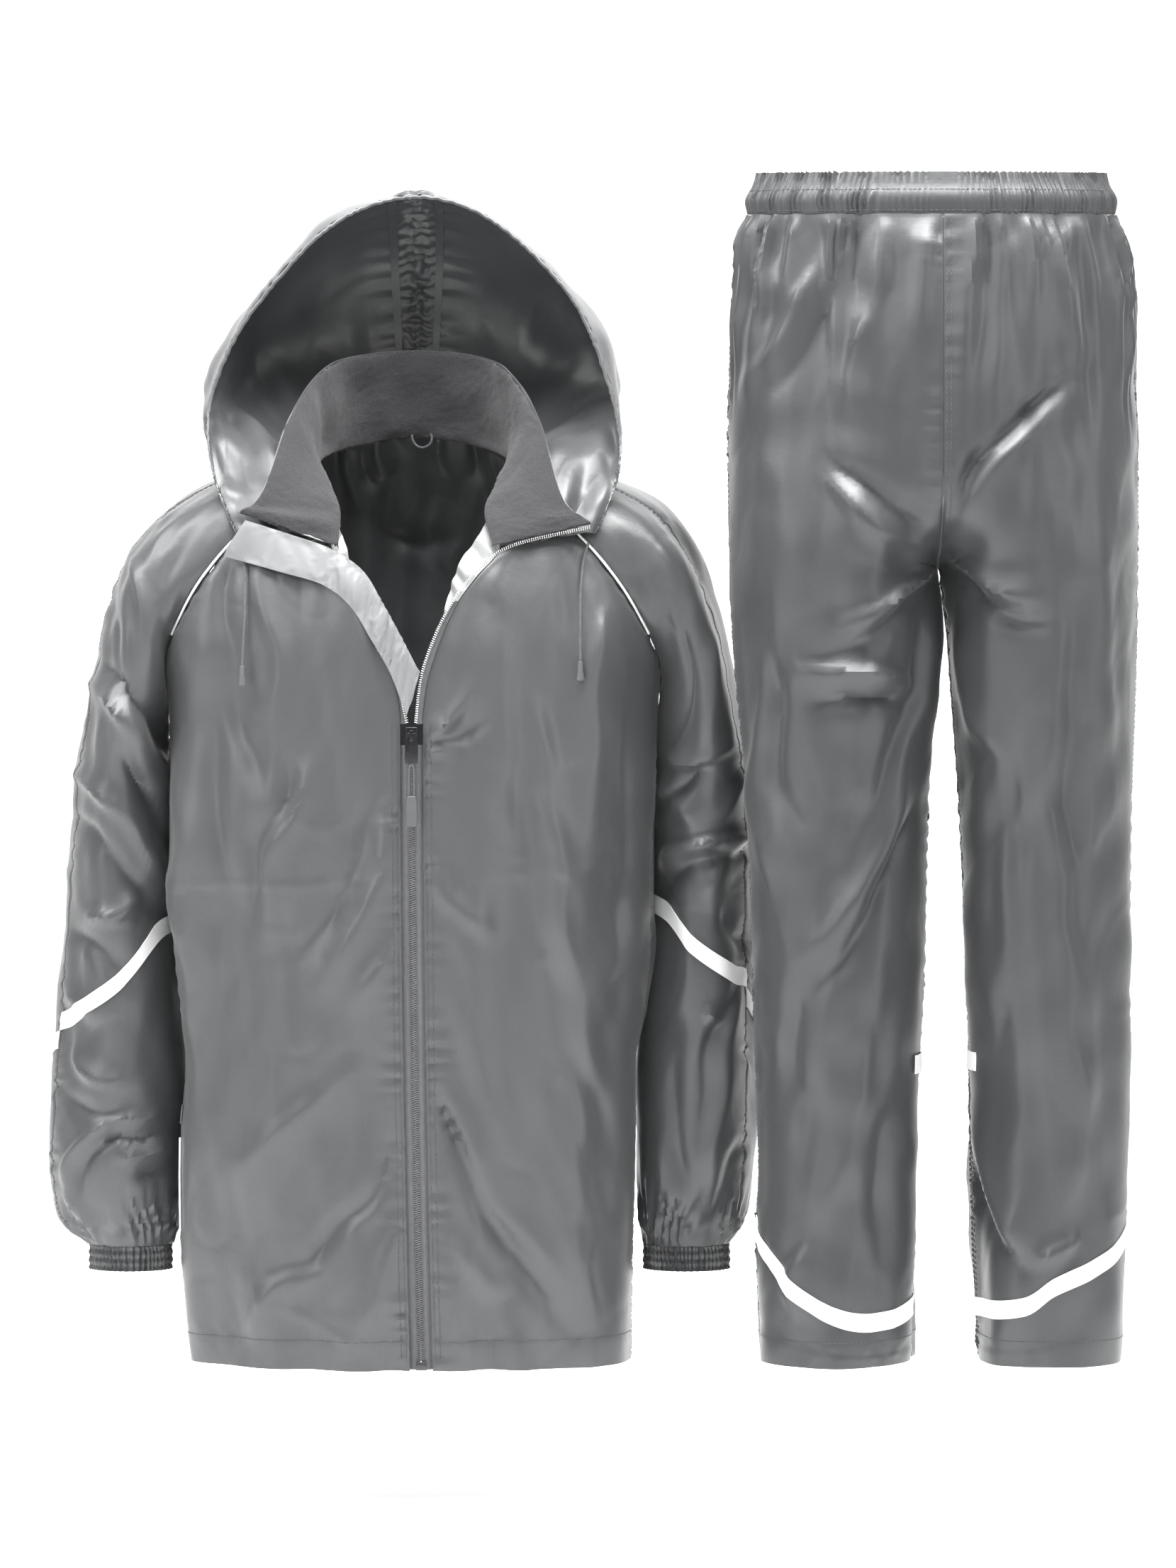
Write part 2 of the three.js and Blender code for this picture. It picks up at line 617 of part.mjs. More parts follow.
// Sleeve line. Turn is -1 on the front seam, 0 over the arm and 1 on the back seam.
function sleeveLine(side, turn, row) {
  const at = rowAt(SLEEVE[side], row);
  const wrap = radians(Math.min(at.wrap, 180));
  const seamX = (at.frontX + at.backX) / 2;
  const seamZ = (at.frontZ + at.backZ) / 2;
  const reach = (Math.cos(wrap * turn) - Math.cos(wrap)) / (1 - Math.cos(wrap));
  const x = lerp(seamX, at.overX, reach) + ((at.backX - at.frontX) / 2) * turn;
  const z = lerp(seamZ, at.overZ, reach) + ((at.backZ - at.frontZ) / 2) * turn;
  const y = at.y + at.depth * Math.sin(wrap * turn);
  return new THREE.Vector3(sideSign[side] * x, y, z);
}

// Share of a bend that rows take: none at the far ends, all of it between start and end
function bendShare(place, from, start, end, to) {
  const rising = (place - from) / (start - from);
  const falling = (to - place) / (to - end);
  return THREE.MathUtils.clamp(Math.min(rising, falling), 0, 1);
}

// Sleeve surface: its rows bend to follow the stripe, and its folds fade out at both seams
function sleeveSurface(side) {
  const stripeEnd = STRIPE_ROW + 2 * STRIPE_ROWS;
  const plain = (turn, row) => {
    const bend = bendShare(row, ARMPIT_ROW + 1, STRIPE_ROW, stripeEnd, CUFF_ROW);
    return sleeveLine(side, turn, row + bend * rowAt(STRIPE_DROP[side], turn).rows);
  };
  const folds = SLEEVE_FOLDS[side].map(([turn1, row1, turn2, row2, wide, high]) => [
    turn1 * TURN_WIDTH, row1 * SLEEVE_ROW_DROP, turn2 * TURN_WIDTH, row2 * SLEEVE_ROW_DROP, wide, high]);
  const fade = (turn, row) => smooth((1 - Math.abs(turn)) / 0.25) * smooth((row - 3) / 2)
    * smooth((CUFF_ROW - row) / 1.2);
  const height = (turn, row) => (
    fade(turn, row) * foldHeight(folds, turn * TURN_WIDTH, row * SLEEVE_ROW_DROP));
  return moved(plain, height, -sideSign[side]);
}

// Depth across a panel, from 1 at its middle edge to 0 at its side edge
function panelDepth(across, flat) {
  const round = (1 - across ** ROUNDNESS) ** (1 / ROUNDNESS);
  return lerp(round, 1 - across ** 1.3, flat);
}

// Centre of the zip, which drifts sideways towards the hem
function zipX(z) {
  return ZIP_DRIFT * THREE.MathUtils.clamp((ARMPIT_Z - z) / (ARMPIT_Z - HEM_Z), 0, 1) ** 2;
}

// Seam of a body panel at one row: the side seam below the armpit and a raglan seam above it
function sideEdge(side, turn, row) {
  if (row < 0) {
    const z = lerp(ARMPIT_Z, HEM_Z, -row);
    const at = rowAt(BODY, z);
    return new THREE.Vector3(sideSign[side] * at[side], at.side, z);
  }
  const seam = sleeveLine(side, turn, ARMPIT_ROW - row);
  seam.x -= sideSign[side] * ARMPIT_EASE * smooth(1 - row / 0.6);
  return seam;
}

// Front surface. Share runs from the zip edge to the side seam or raglan seam.
// Row runs from -1 at the hem to 0 at the armpit, then up the raglan seam.
function frontSurface(side) {
  const sign = sideSign[side];
  const plain = (share, row) => {
    const z = lerp(ARMPIT_Z, HEM_Z, -Math.min(row, 0));
    const edge = rowAt(EDGE[side], Math.max(row, 0));
    const middle = row < 0
      ? new THREE.Vector3(zipX(z) + sign * ZIP_HALF, rowAt(BODY, z).front, z)
      : new THREE.Vector3(sign * edge.x, edge.y, edge.z);
    const outer = sideEdge(side, -1, row);
    const across = Math.sin((Math.PI / 2) * THREE.MathUtils.clamp(share, 0, 1));
    const depth = panelDepth(across, smooth(row / 4) * 0.6);
    return new THREE.Vector3(lerp(middle.x, outer.x, across), lerp(outer.y, middle.y, depth),
      lerp(middle.z, outer.z, across));
  };
  const fade = (share, row) => smooth((5 - row) / 3) * smooth((1 - share) / 0.25) * smooth(share / 0.1);
  const height = (share, row) => {
    const point = plain(share, row);
    return fade(share, row) * foldHeight(FRONT_FOLDS, point.x, point.z);
  };
  return moved(plain, height, sign);
}

// Back surface. Share runs from -1 on the left seam to 1 on the right seam, rows as on the fronts.
function backSurface() {
  const plain = (share, row) => {
    const side = share < 0 ? 'left' : 'right';
    const z = lerp(ARMPIT_Z, HEM_Z, -Math.min(row, 0));
    const spine = rowAt(BACK_CENTRE, Math.max(row, 0));
    const middle = row < 0 ? { y: rowAt(BODY, z).back, z } : spine;
    const outer = sideEdge(side, 1, row);
    const across = Math.sin((Math.PI / 2) * Math.min(Math.abs(share), 1));
    const depth = panelDepth(across, smooth(row / 4) * 0.6);
    return new THREE.Vector3(outer.x * across, lerp(outer.y, middle.y, depth),
      lerp(middle.z, outer.z, across ** 1.6));
  };
  const fade = (share, row) => smooth((5 - row) / 3) * smooth((1 - Math.abs(share)) / 0.25);
  const height = (share, row) => {
    const point = plain(share, row);
    return fade(share, row) * foldHeight(BACK_FOLDS, point.x, point.z);
  };
  return moved(plain, height, -1);
}

// Out direction shared by two panels at their seam, where the seam stands out
function seamOut(own, other) {
  return own.dot(other) > 0 ? own.clone().add(other).normalize() : own;
}

// Rows of two panels that meet at a raglan seam
const RAGLAN_ROWS = spread(0, TOP_ROW, 8);
const PIPING_ROWS = RAGLAN_ROWS.slice(2, -2);
const BODY_ROWS = [...spread(-1, 0, 10).slice(0, -1), ...RAGLAN_ROWS];
const STRIPE_EDGES = [STRIPE_ROW, STRIPE_ROW + STRIPE_ROWS, STRIPE_ROW + 2 * STRIPE_ROWS];
const SLEEVE_ROWS = [
  ...RAGLAN_ROWS.map((row) => ARMPIT_ROW - row).reverse(),
  ...spread(ARMPIT_ROW, STRIPE_ROW, 5).slice(1, -1),
  ...STRIPE_EDGES,
  ...spread(STRIPE_EDGES[2], CUFF_ROW, 5).slice(1),
];

function bodyPanels() {
  const back = backSurface();
  for (const side of ['right', 'left']) {
    const sign = sideSign[side];
    const front = frontSurface(side);
    const sleeve = sleeveSurface(side);
    const columns = spread(0, 1, FRONT_COLUMNS);
    const frontSeamOut = (column, share, row) => {
      if (column < columns.length - 1 || row < 0) return null;
      return seamOut(squareTo(front, 1, row, sign), squareTo(sleeve, -1, ARMPIT_ROW - row, -sign));
    };
    wall(`jacket_front_${side}`, cloth, front, columns, BODY_ROWS, { sign, outAt: frontSeamOut });

    const frontColumns = spread(-1, OVER_ARM[side], 6);
    const sleeveFrontOut = (column, turn, row) => {
      if (column > 0 || row > ARMPIT_ROW) return null;
      return seamOut(squareTo(sleeve, -1, row, -sign), squareTo(front, 1, ARMPIT_ROW - row, sign));
    };
    wall(`sleeve_${side}_front`, cloth, sleeve, frontColumns, SLEEVE_ROWS,
      { sign: -sign, outAt: sleeveFrontOut });

    const backColumns = spread(OVER_ARM[side], 1, 6);
    const sleeveBackOut = (column, turn, row) => {
      if (column < backColumns.length - 1 || row > ARMPIT_ROW) return null;
      return seamOut(squareTo(sleeve, 1, row, -sign), squareTo(back, sign, ARMPIT_ROW - row, -1));
    };
    wall(`sleeve_${side}_back`, cloth, sleeve, backColumns, SLEEVE_ROWS,
      { sign: -sign, outAt: sleeveBackOut });

    // Reflective stripes, each on the rows of its own panel
    const raised = moved(sleeve, () => LIFT + TRIM, -sign);
    const stripe = (face, stripeColumns, first) => wall(`sleeve_stripe_${side}_${face}`, reflective, raised,
      stripeColumns, [STRIPE_EDGES[first], STRIPE_EDGES[first + 1]], { sign: -sign, thickness: TRIM });
    stripe('front', frontColumns, 0);
    stripe('back', backColumns, 1);

    // Piping along the front raglan seam
    const outs = PIPING_ROWS.map((row) => {
      const frontOut = squareTo(front, 1, row, sign);
      return frontOut.add(squareTo(sleeve, -1, ARMPIT_ROW - row, -sign)).multiplyScalar(1 / 2);
    });
    const centres = PIPING_ROWS.map((row, index) => {
      const valley = Math.max(outs[index].length(), VALLEY_LIMIT);
      const direction = outs[index].clone().normalize();
      return front(1, row).addScaledVector(direction, (PIPING_RADIUS + LIFT) / valley ** 2);
    });
    rope(`piping_${side}`, reflective, centres, outs, PIPING_RADIUS, 6);
  }
  const columns = spread(-1, 1, 12);
  const backOut = (column, share, row) => {
    if ((column > 0 && column < columns.length - 1) || row < 0) return null;
    const side = share < 0 ? 'left' : 'right';
    return seamOut(squareTo(back, share, row, -1),
      squareTo(sleeveSurface(side), 1, ARMPIT_ROW - row, -sideSign[side]));
  };
  wall('jacket_back', cloth, back, columns, BODY_ROWS, { sign: -1, outAt: backOut });
}

// Elastic cuffs, ribbed all round
function cuffs() {
  for (const side of ['right', 'left']) {
    const { x, half, y, depth, z } = CUFF[side];
    const ring = (turn, drop) => {
      const angle = 2 * Math.PI * turn;
      const rib = (RIB_HEIGHT / 2) * Math.cos(CUFF_RIBS * angle);
      return new THREE.Vector3(sideSign[side] * x + (half + rib) * Math.cos(angle),
        y - (depth + rib) * Math.sin(angle), z - drop);
    };
    const columns = spread(0, 1, 2 * CUFF_RIBS).slice(0, -1);
    wall(`cuff_${side}`, cloth, ring, columns, [0, CUFF_HEIGHT], { sign: -1, closed: true });
  }
}

// Hood surface. Place runs from the left foot to the right one, depth from the rim to the neck.
function hoodSurface(place, depth) {
  const at = rowAt(HOOD, place);
  const curve = new THREE.CubicBezierCurve3(
    new THREE.Vector3(at.rimX, at.rimY, at.rimZ),
    new THREE.Vector3(at.shapeX, at.shapeY, at.shapeZ),
    new THREE.Vector3(at.fullX, at.fullY, at.fullZ),
    new THREE.Vector3(at.neckX, at.neckY, at.neckZ),
  );
  return curve.getPoint(depth);
}

function hood() {
  const depths = spread(HOOD_HEM, 1, 7);
  const left = spread(-1, -HOOD_STRIP, 9);
  const right = spread(HOOD_STRIP, 1, 9);
  wall('hood_left', cloth, hoodSurface, left, depths);
  wall('hood_right', cloth, hoodSurface, right, depths);
  wall('hood_rim', cloth, hoodSurface, [...left, 0, ...right], [0, HOOD_HEM - RIM_CLEARANCE],
    { thickness: RIM_HEM });
  const wave = (place, depth) => {
    const waves = HOOD_WAVES * (depth - HOOD_HEM) / (1 - HOOD_HEM);
    return GATHER_HEIGHT * Math.cos(2 * Math.PI * waves) * (1 - (place / HOOD_STRIP) ** 2);
  };
  const gathered = moved(hoodSurface, wave, 1);
  wall('hood_gather', cloth, gathered, spread(-HOOD_STRIP, HOOD_STRIP, 2),
    spread(HOOD_HEM, 1, 2 * HOOD_WAVES));
}

// Stand collar. Height runs from the neck seam to the top edge.
function collar() {
  const surface = (place, height) => {
    const at = rowAt(COLLAR, place);
    return new THREE.Vector3(lerp(at.seamX, at.topX, height), lerp(at.seamY, at.topY, height),
      lerp(at.seamZ, at.topZ, height));
  };
  const places = spread(-1, 1, 18);
  wall('collar_shell', cloth, surface, places, [0, 0.5, 1]);
  const lining = moved(surface, () => FLEECE + LINING_GAP, 1);
  wall('collar_fleece', fleece, lining, places, [0.02, 0.5, 0.98], { thickness: FLEECE });
}

function frontEdges() {
  const flap = (place, across) => {
    const at = rowAt(FLAP, place);
    return new THREE.Vector3(lerp(at.innerX, at.outerX, across), lerp(at.innerY, at.outerY, across),
      lerp(at.innerZ, at.outerZ, across));
  };
  wall('storm_flap', silver, flap, spread(0, 1, 10), [0, 0.5, 1]);
  for (const side of ['left', 'right']) {
    const sign = sideSign[side];
    const first = FACING[side].rows.at(0)[0];
    const last = FACING[side].rows.at(-1)[0];
    const rows = RAGLAN_ROWS.filter((row) => row >= first && row <= last);
    const facing = (row, across) => {
      const edge = rowAt(EDGE[side], row);
      const reach = rowAt(FACING[side], row);
      return new THREE.Vector3(sign * (edge.x - FACING_SHIFT + reach.inX * across),
        edge.y + reach.inY * across, edge.z + reach.inZ * across);
    };
    wall(`facing_${side}`, silver, facing, rows, [0, 0.5, 1], { sign });
  }
}

// Closed zip below the slider, and the open halves above it
function zip() {
  const bottom = HEM_Z + 1;
  const top = SLIDER_Z - SLIDER_HEIGHT / 2 - SEAM_GAP / 2;
  const heights = spread(bottom, top, 9);
  const sheet = (raise) => (x, z) => new THREE.Vector3(zipX(z) + x, rowAt(BODY, z).front - raise, z);
  const edge = ZIP_HALF - SEAM_GAP;
  const coilEdge = COIL_HALF + SEAM_GAP;
  wall('zip_tape_left', tape, sheet(-LIFT), [-edge, -coilEdge], heights, { thickness: TRIM });
  wall('zip_tape_right', tape, sheet(-LIFT), [coilEdge, edge], heights, { thickness: TRIM });
  const boxTop = bottom + BOTTOM_BOX.height + 2 * SEAM_GAP;
  wall('zip_coil', coilPlastic, sheet(COIL_RAISE), [-COIL_HALF, 0, COIL_HALF], spread(boxTop, top, 9),
    { thickness: COIL_THICKNESS });
  const box = addMesh('zip_bottom_box', metal,
    new THREE.BoxGeometry(BOTTOM_BOX.width, BOTTOM_BOX.depth, BOTTOM_BOX.height));
  box.position.set(zipX(bottom), rowAt(BODY, bottom).front - BOTTOM_BOX.depth / 2,
    bottom + BOTTOM_BOX.height / 2);
  for (const side of ['left', 'right']) {
    const points = OPEN_ZIP[side].rows.map(([, x, y, z]) => new THREE.Vector3(x, y, z));
    tube(`zip_open_coil_${side}`, metal, points, OPEN_COIL_RADIUS, 6, 3 * points.length);
  }
}

// A flat piece with its outline facing the viewer, its back at one depth
function plate(name, material, shape, thickness, back, z) {
  const geometry = new THREE.ExtrudeGeometry(shape, { depth: thickness, bevelEnabled: false });
  const mesh = addMesh(name, material, geometry);
  mesh.rotation.x = Math.PI / 2;
  mesh.position.set(0, back, z);
}

// Slider with a bridge that holds the pull, and the pull hanging on its bar
function slider() {
  plate('zip_slider', metal, outline(SLIDER_OUTLINE), SLIDER_DEPTH, SLIDER_Y, SLIDER_Z);

  // The bridge is an arch seen from the side, its feet on the slider
  const bridgeGeometry = new THREE.ExtrudeGeometry(outline(BRIDGE_OUTLINE),
    { depth: BRIDGE_WIDTH, bevelEnabled: false });
  const bridge = addMesh('zip_bridge', metal, bridgeGeometry);
  const outwards = new THREE.Vector3(0, -1, 0);
  const upwards = new THREE.Vector3(0, 0, 1);
  const sideways = new THREE.Vector3(-1, 0, 0);
  bridge.setRotationFromMatrix(new THREE.Matrix4().makeBasis(outwards, upwards, sideways));
  bridge.position.set(BRIDGE_WIDTH / 2, SLIDER_Y - SLIDER_DEPTH - SEAM_GAP, SLIDER_Z);

  // The plate has a slot round its bar, and the cord loop and grip hang below it
  const tab = outline(PULL_OUTLINE);
  tab.holes.push(outline(PULL_SLOT));
  plate('zip_pull_plate', metal, tab, PULL_THICKNESS, PULL_Y + PULL_THICKNESS / 2, PULL_Z);
  const loop = toPoints(PULL_CORD_ROUTE.map(([x, z]) => [x, PULL_Y, z]));
  tube('zip_pull_cord', cordMaterial, loop, PULL_CORD_RADIUS, 6, 16);
  plate('zip_pull_grip', gripRubber, outline(GRIP_OUTLINE), GRIP_THICKNESS, PULL_Y + GRIP_THICKNESS / 2,
    GRIP_Z);
}

// Hood drawcords with a bell end on each
function drawcords() {
  const profile = CORD_END_PROFILE.map(([radius, height]) => new THREE.Vector2(radius, height));
  for (const side of ['left', 'right']) {
    const points = toPoints(DRAWCORD[side]);
    tube(`drawcord_${side}`, cordMaterial, points, CORD_DIAMETER / 2, CORD_SIDES, 15);
    const bell = addMesh(`cord_end_${side}`, gripRubber, new THREE.LatheGeometry(profile, CORD_SIDES));
    const end = points[points.length - 1];
    bell.rotation.x = Math.PI / 2;
    bell.position.set(end.x, end.y, end.z - SEAM_GAP);
  }
}

// Side pocket: piping along its mouth and the cord on its zip
function pocket() {
  const surface = frontSurface('left');
  const along = (from, to, raise) => spread(from, to, 4).map((row) => surface(POCKET.share, row)
    .addScaledVector(squareTo(surface, POCKET.share, row, -1), raise));
  const raise = PIPING_RADIUS + SEAM_GAP;
  tube('pocket_piping', reflective, along(POCKET.top, POCKET.bottom, raise), PIPING_RADIUS, 6, 8);
  tube('pocket_cord', cordMaterial, along(POCKET.cordTop, POCKET.cordBottom, raise), PIPING_RADIUS, 6, 4);
}

function hangerLoop() {
  tube('hanger_loop', cordMaterial, toPoints(HANGER_ROUTE), HANGER_RADIUS, 6, 16);
}

// Trouser leg surface. Share runs from the outer side seam to the middle seam or inner leg.
function legSurface(side, face) {
  const sign = sideSign[side];
  const away = face === 'front' ? -1 : 1;
  const stripe = LEG_STRIPE[face];
  const folds = face === 'front' ? TROUSER_FRONT_FOLDS : TROUSER_BACK_FOLDS;
  const plain = (share, row) => {
    const bend = bendShare(-row, -stripe.reach[0], -stripe.z - STRIPE_WIDTH / 2,
      -stripe.z + STRIPE_WIDTH / 2, -stripe.reach[1]);
    const z = row + bend * rowAt(stripe[side], share).rise;
    const at = rowAt(LEGS, z);
    const split = smooth((RISE_START_Z - z) / (RISE_START_Z - CROTCH_Z));
    const middle = (split * at[side] + at[`${side}In`]) / 2;
    const half = at[side] - middle;
    const angle = share * Math.acos(THREE.MathUtils.clamp(-middle / half, -1, 1));
    return new THREE.Vector3(TROUSERS_X + sign * (middle + half * Math.cos(angle)),
      TROUSERS_Y + away * at[face] * Math.sin(angle), z);
  };
  const height = (share, row) => {
    const point = plain(share, row);
    const fade = smooth(share / 0.2) * smooth((1 - share) / 0.15) * smooth((WAIST_SEAM_Z - row) / 30);
    const gather = GATHER_DEPTH * Math.cos(2 * Math.PI * PANEL_GATHERS * share)
      * smooth((row - GATHER_END_Z) / (WAIST_SEAM_Z - GATHER_END_Z));
    return fade * foldHeight(folds, point.x - TROUSERS_X, point.z) + smooth(share / 0.1) * gather;
  };
  return moved(plain, height, sign * away);
}

// Rows of a leg panel, with a stripe's two edges and the close rows of the crotch among them
function legRows(stripeZ) {
  const special = [stripeZ - STRIPE_WIDTH / 2, stripeZ + STRIPE_WIDTH / 2, ...CROTCH_ROWS];
  const clear = ((WAIST_SEAM_Z - LEG_HEM_Z) / LEG_ROWS) * 0.4;
  const isClear = (row) => special.every((other) => Math.abs(row - other) > clear);
  const plainRows = spread(LEG_HEM_Z, WAIST_SEAM_Z, LEG_ROWS).filter(isClear);
  return [...plainRows, ...special].sort((low, high) => low - high);
}

function trousers() {
  const columns = spread(0, 1, 2 * PANEL_GATHERS);
  for (const side of ['right', 'left']) {
    for (const face of ['front', 'back']) {
      const surface = legSurface(side, face);
      const sign = face === 'front' ? sideSign[side] : -sideSign[side];
      const stripeZ = LEG_STRIPE[face].z;
      wall(`trouser_${side}_${face}`, trouserCloth, surface, columns, legRows(stripeZ), { sign: -sign });
      const raised = moved(surface, () => LIFT + TRIM, -sign);
      const tab = face === 'back' ? spread(1, STRIPE_TAB_END[side], 3).slice(1) : [];
      wall(`leg_stripe_${side}_${face}`, reflective, raised, [...columns, ...tab],
        [stripeZ - STRIPE_WIDTH / 2, stripeZ + STRIPE_WIDTH / 2], { sign: -sign, thickness: TRIM });
    }
  }
  waistband();
}

// Gathered elastic waistband, plain at the middle of the front
function waistband() {
  const ring = (turn, z) => {
    const angle = 2 * Math.PI * turn;
    const at = rowAt(WAISTBAND, z);
    const side = Math.cos(angle) > 0 ? 'right' : 'left';
    const face = Math.sin(angle) < 0 ? 'front' : 'back';
    const fromCentre = Math.abs(WAIST[side] * Math.cos(angle));
    const ribbed = face === 'front' ? smooth((fromCentre - WAIST_PLAIN_HALF) / 4) : 1;
    const out = at.out + RIB_HEIGHT * at.ribs * ribbed * Math.cos(WAIST_RIBS * angle);
    return new THREE.Vector3(TROUSERS_X + (WAIST[side] + out) * Math.cos(angle),
      TROUSERS_Y + (WAIST[face] + out) * Math.sin(angle), z);
  };
  const columns = spread(0, 1, 2 * WAIST_RIBS).slice(0, -1);
  const heights = WAISTBAND.rows.map(([z]) => z);
  wall('waistband', trouserCloth, ring, columns, heights, { closed: true });
}

bodyPanels();
cuffs();
hood();
collar();
frontEdges();
zip();
slider();
drawcords();
pocket();
hangerLoop();
trousers();

export default group;
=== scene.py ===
# Rain suit: a hooded jacket and trousers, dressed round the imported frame.
# The tables are in millimetres, as the garment is cut, and MM turns them into the scene's metres.
# X runs to the viewer's right, Y away from the viewer and Z up.

import math

import bmesh
import bpy
import numpy as np
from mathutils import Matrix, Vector


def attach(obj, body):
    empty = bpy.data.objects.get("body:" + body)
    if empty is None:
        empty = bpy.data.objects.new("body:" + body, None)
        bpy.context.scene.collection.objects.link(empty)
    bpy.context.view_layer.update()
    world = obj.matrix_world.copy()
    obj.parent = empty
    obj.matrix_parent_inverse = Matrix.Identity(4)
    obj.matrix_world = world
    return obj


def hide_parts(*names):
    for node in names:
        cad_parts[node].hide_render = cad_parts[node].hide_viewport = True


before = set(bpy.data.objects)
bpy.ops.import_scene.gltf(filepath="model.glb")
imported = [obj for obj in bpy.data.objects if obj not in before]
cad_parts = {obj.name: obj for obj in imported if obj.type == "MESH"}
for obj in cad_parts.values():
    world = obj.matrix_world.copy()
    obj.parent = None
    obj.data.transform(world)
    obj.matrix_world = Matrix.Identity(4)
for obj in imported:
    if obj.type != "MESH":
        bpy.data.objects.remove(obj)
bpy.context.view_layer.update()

MM = 0.001
SUIT = "rain_suit"
PULL = "zip_pull"
SIDE = {"left": -1, "right": 1}

# Folds: how far their lines wander and over what size, and how their crests are rounded
WANDER = 2.2
WANDER_SIZE = 84
CREST_SHARPNESS = 1.7
CREST_ROUNDING = 0.06
CREST_TOP = 0.245
CREST_SHARE = 0.6

# Relief that every stretch of cloth has: height, size, how much longer than wide, and a step of the seed
SWELLS = [(1.6, 62, 4.5, 0), (0.4, 27, 2.4, 20)]
CREASES = [(0.45, 84, 2.0, 40), (-0.35, 62, 1.6, 60)]

# Cloth and seams
CLOTH = 1.2
FLEECE = 2.4
TRIM = 1.0
SEAM_GAP = 0.36
LIFT = 0.5
LINING_GAP = 0.65
SEAM_GROOVE = 0.8
GRID = 4.0
TROUSER_GRID = 4.7
STEEPEST = 0.8
FOLD_STRENGTH = 1.6
SLEEVE_STRENGTH = 1.25

# Grid spacings of the smaller pieces
FINE_GRID = 2.2
RUCHE_GRID = 2.0
RIM_GRID = 2.4
STRIPE_GRID = 1.8

# Gathers beside each kind of seam: pitch, height and reach
PUCKER = {
    "front edge": (14, 1.1, 15),
    "body seam": (16, 0.8, 12),
    "hem": (15, 0.8, 9),
    "over arm": (15, 0.8, 11),
    "under arm": (16, 0.7, 11),
    "hood seam": (16, 1.3, 20),
    "hood rim": (9, 0.9, 9),
    "flap hem": (9, 0.8, 7),
    "leg seam": (16, 1.0, 14),
    "leg hem": (15, 0.7, 9),
    "zip tape": (11, 0.3, 5),
}

# Folds fade out over this distance from a seam, and a stitched hem stands out by its extra layer
SEAM_FADE = 26
HEM_LAYER = 0.5

# How wide and long the pieces are along the cloth, which sets their grids' steps
FRONT_WIDE = 235
BACK_WIDE = 560
RAGLAN_LONG = 235
SLEEVE_LONG = 760
SLEEVE_WIDE = {"front": 165, "back": 215}
HOOD_SIDE_LONG = 380
HOOD_DEEP = 260
HOOD_STRIP_WIDE = 35
HOOD_STRIP_LONG = 300
COLLAR_LONG = 480
COLLAR_HIGH = 70
FLAP_LONG = 250
FLAP_WIDE = 36
FACING_LONG = 100
FACING_WIDE = 18
LEG_WIDE = 260

# The same lengths round the body, as the fields of small folds are laid out
SLEEVE_HALF_ROUND = 150
SEAM_HALF_ROUND = 190
COLLAR_ROUND = 300
LEG_ROUND = 180
WAIST_ROUND = 800

# Gathers below the waistband: pitch and height of the small ones and of the deep ones
WAIST_GATHER = (14, 2.6)
WAIST_PLEAT = (27, 3.2)
GATHER_END_Z = 150
SLEEVE_GATHERS = 13

# Zip teeth: pitch, length, width and height of one, and its half widths at places along it, as shares
TOOTH_PITCH = 0.95
TOOTH = (3.6, 1.15, 2.0)
OPEN_TOOTH_PITCH = 1.9
OPEN_TOOTH = (2.9, 1.1, 1.9)
TOOTH_PROFILE = ((-0.5, 0.45), (-0.36, 0.95), (0.36, 0.95), (0.5, 0.45))

# Sewing stitches
STITCH_PITCH = 4.6
STITCH_LONG = 3.5
STITCH_RADIUS = 0.36
STITCH_PROFILE = ((-0.5, 0.5), (0, 1), (0.5, 0.5))

# Pocket: how far out on the front, and the first and last row and the step of its piping and of its cord
POCKET_SHARE = 8 / 9
POCKET_PIPING_ROWS = (-0.8, -0.64, 4)
POCKET_CORD_ROWS = (-0.634, -0.6, 2)

# Driving dimensions of the jacket
HEM_Z = -746
ARMPIT_Z = -190
ARMPIT_ROW = 6
ARMPIT_EASE = 1
TOP_ROW = 6
CUFF_ROW = 15
SLEEVE_ROW_DROP = 51.3
STRIPE_WIDTH = 16
CUFF_HEIGHT = 21
CUFF_RIBS = 46
ZIP_HALF = 9.5
TAPE_DROP = 2.1
ZIP_DRIFT = 7.5
SLIDER_Z = -207
SLIDER_HALF = 7.5
OPEN_TAPE_END = 0.5
BOTTOM_BOX_HEIGHT = 7
ROUNDNESS = 2.3
HOOD_STRIP = 0.045
HOOD_HEM = 0.02
SEAM_TAPE = 0.016
HEM_STITCH = 25
PIPING_RADIUS = 1.1
PIPING_ROWS = (1.5, 4.5)
VALLEY_LIMIT = 0.6
CUFF = {
    "left": {"x": 246, "half": 35, "y": 26, "depth": 31, "z": -652.6},
    "right": {"x": 233.5, "half": 36.5, "y": 26, "depth": 31, "z": -652.6},
}

# Driving dimensions of the trousers
TROUSERS_X = 444.5
TROUSERS_Y = -84
WAIST_SEAM_Z = 231
LEG_HEM_Z = -738
LEG_HEM_STITCH = 22
CROTCH_Z = -68
RISE_START_Z = 60
WAIST_RIBS = 168
TAB_END = {"left": 1.15, "right": 1.13}
LEG_ARC = 250
WAIST_PLAIN_HALF = 9
WAIST = {"left": 162, "right": 149, "front": 88, "back": 92}

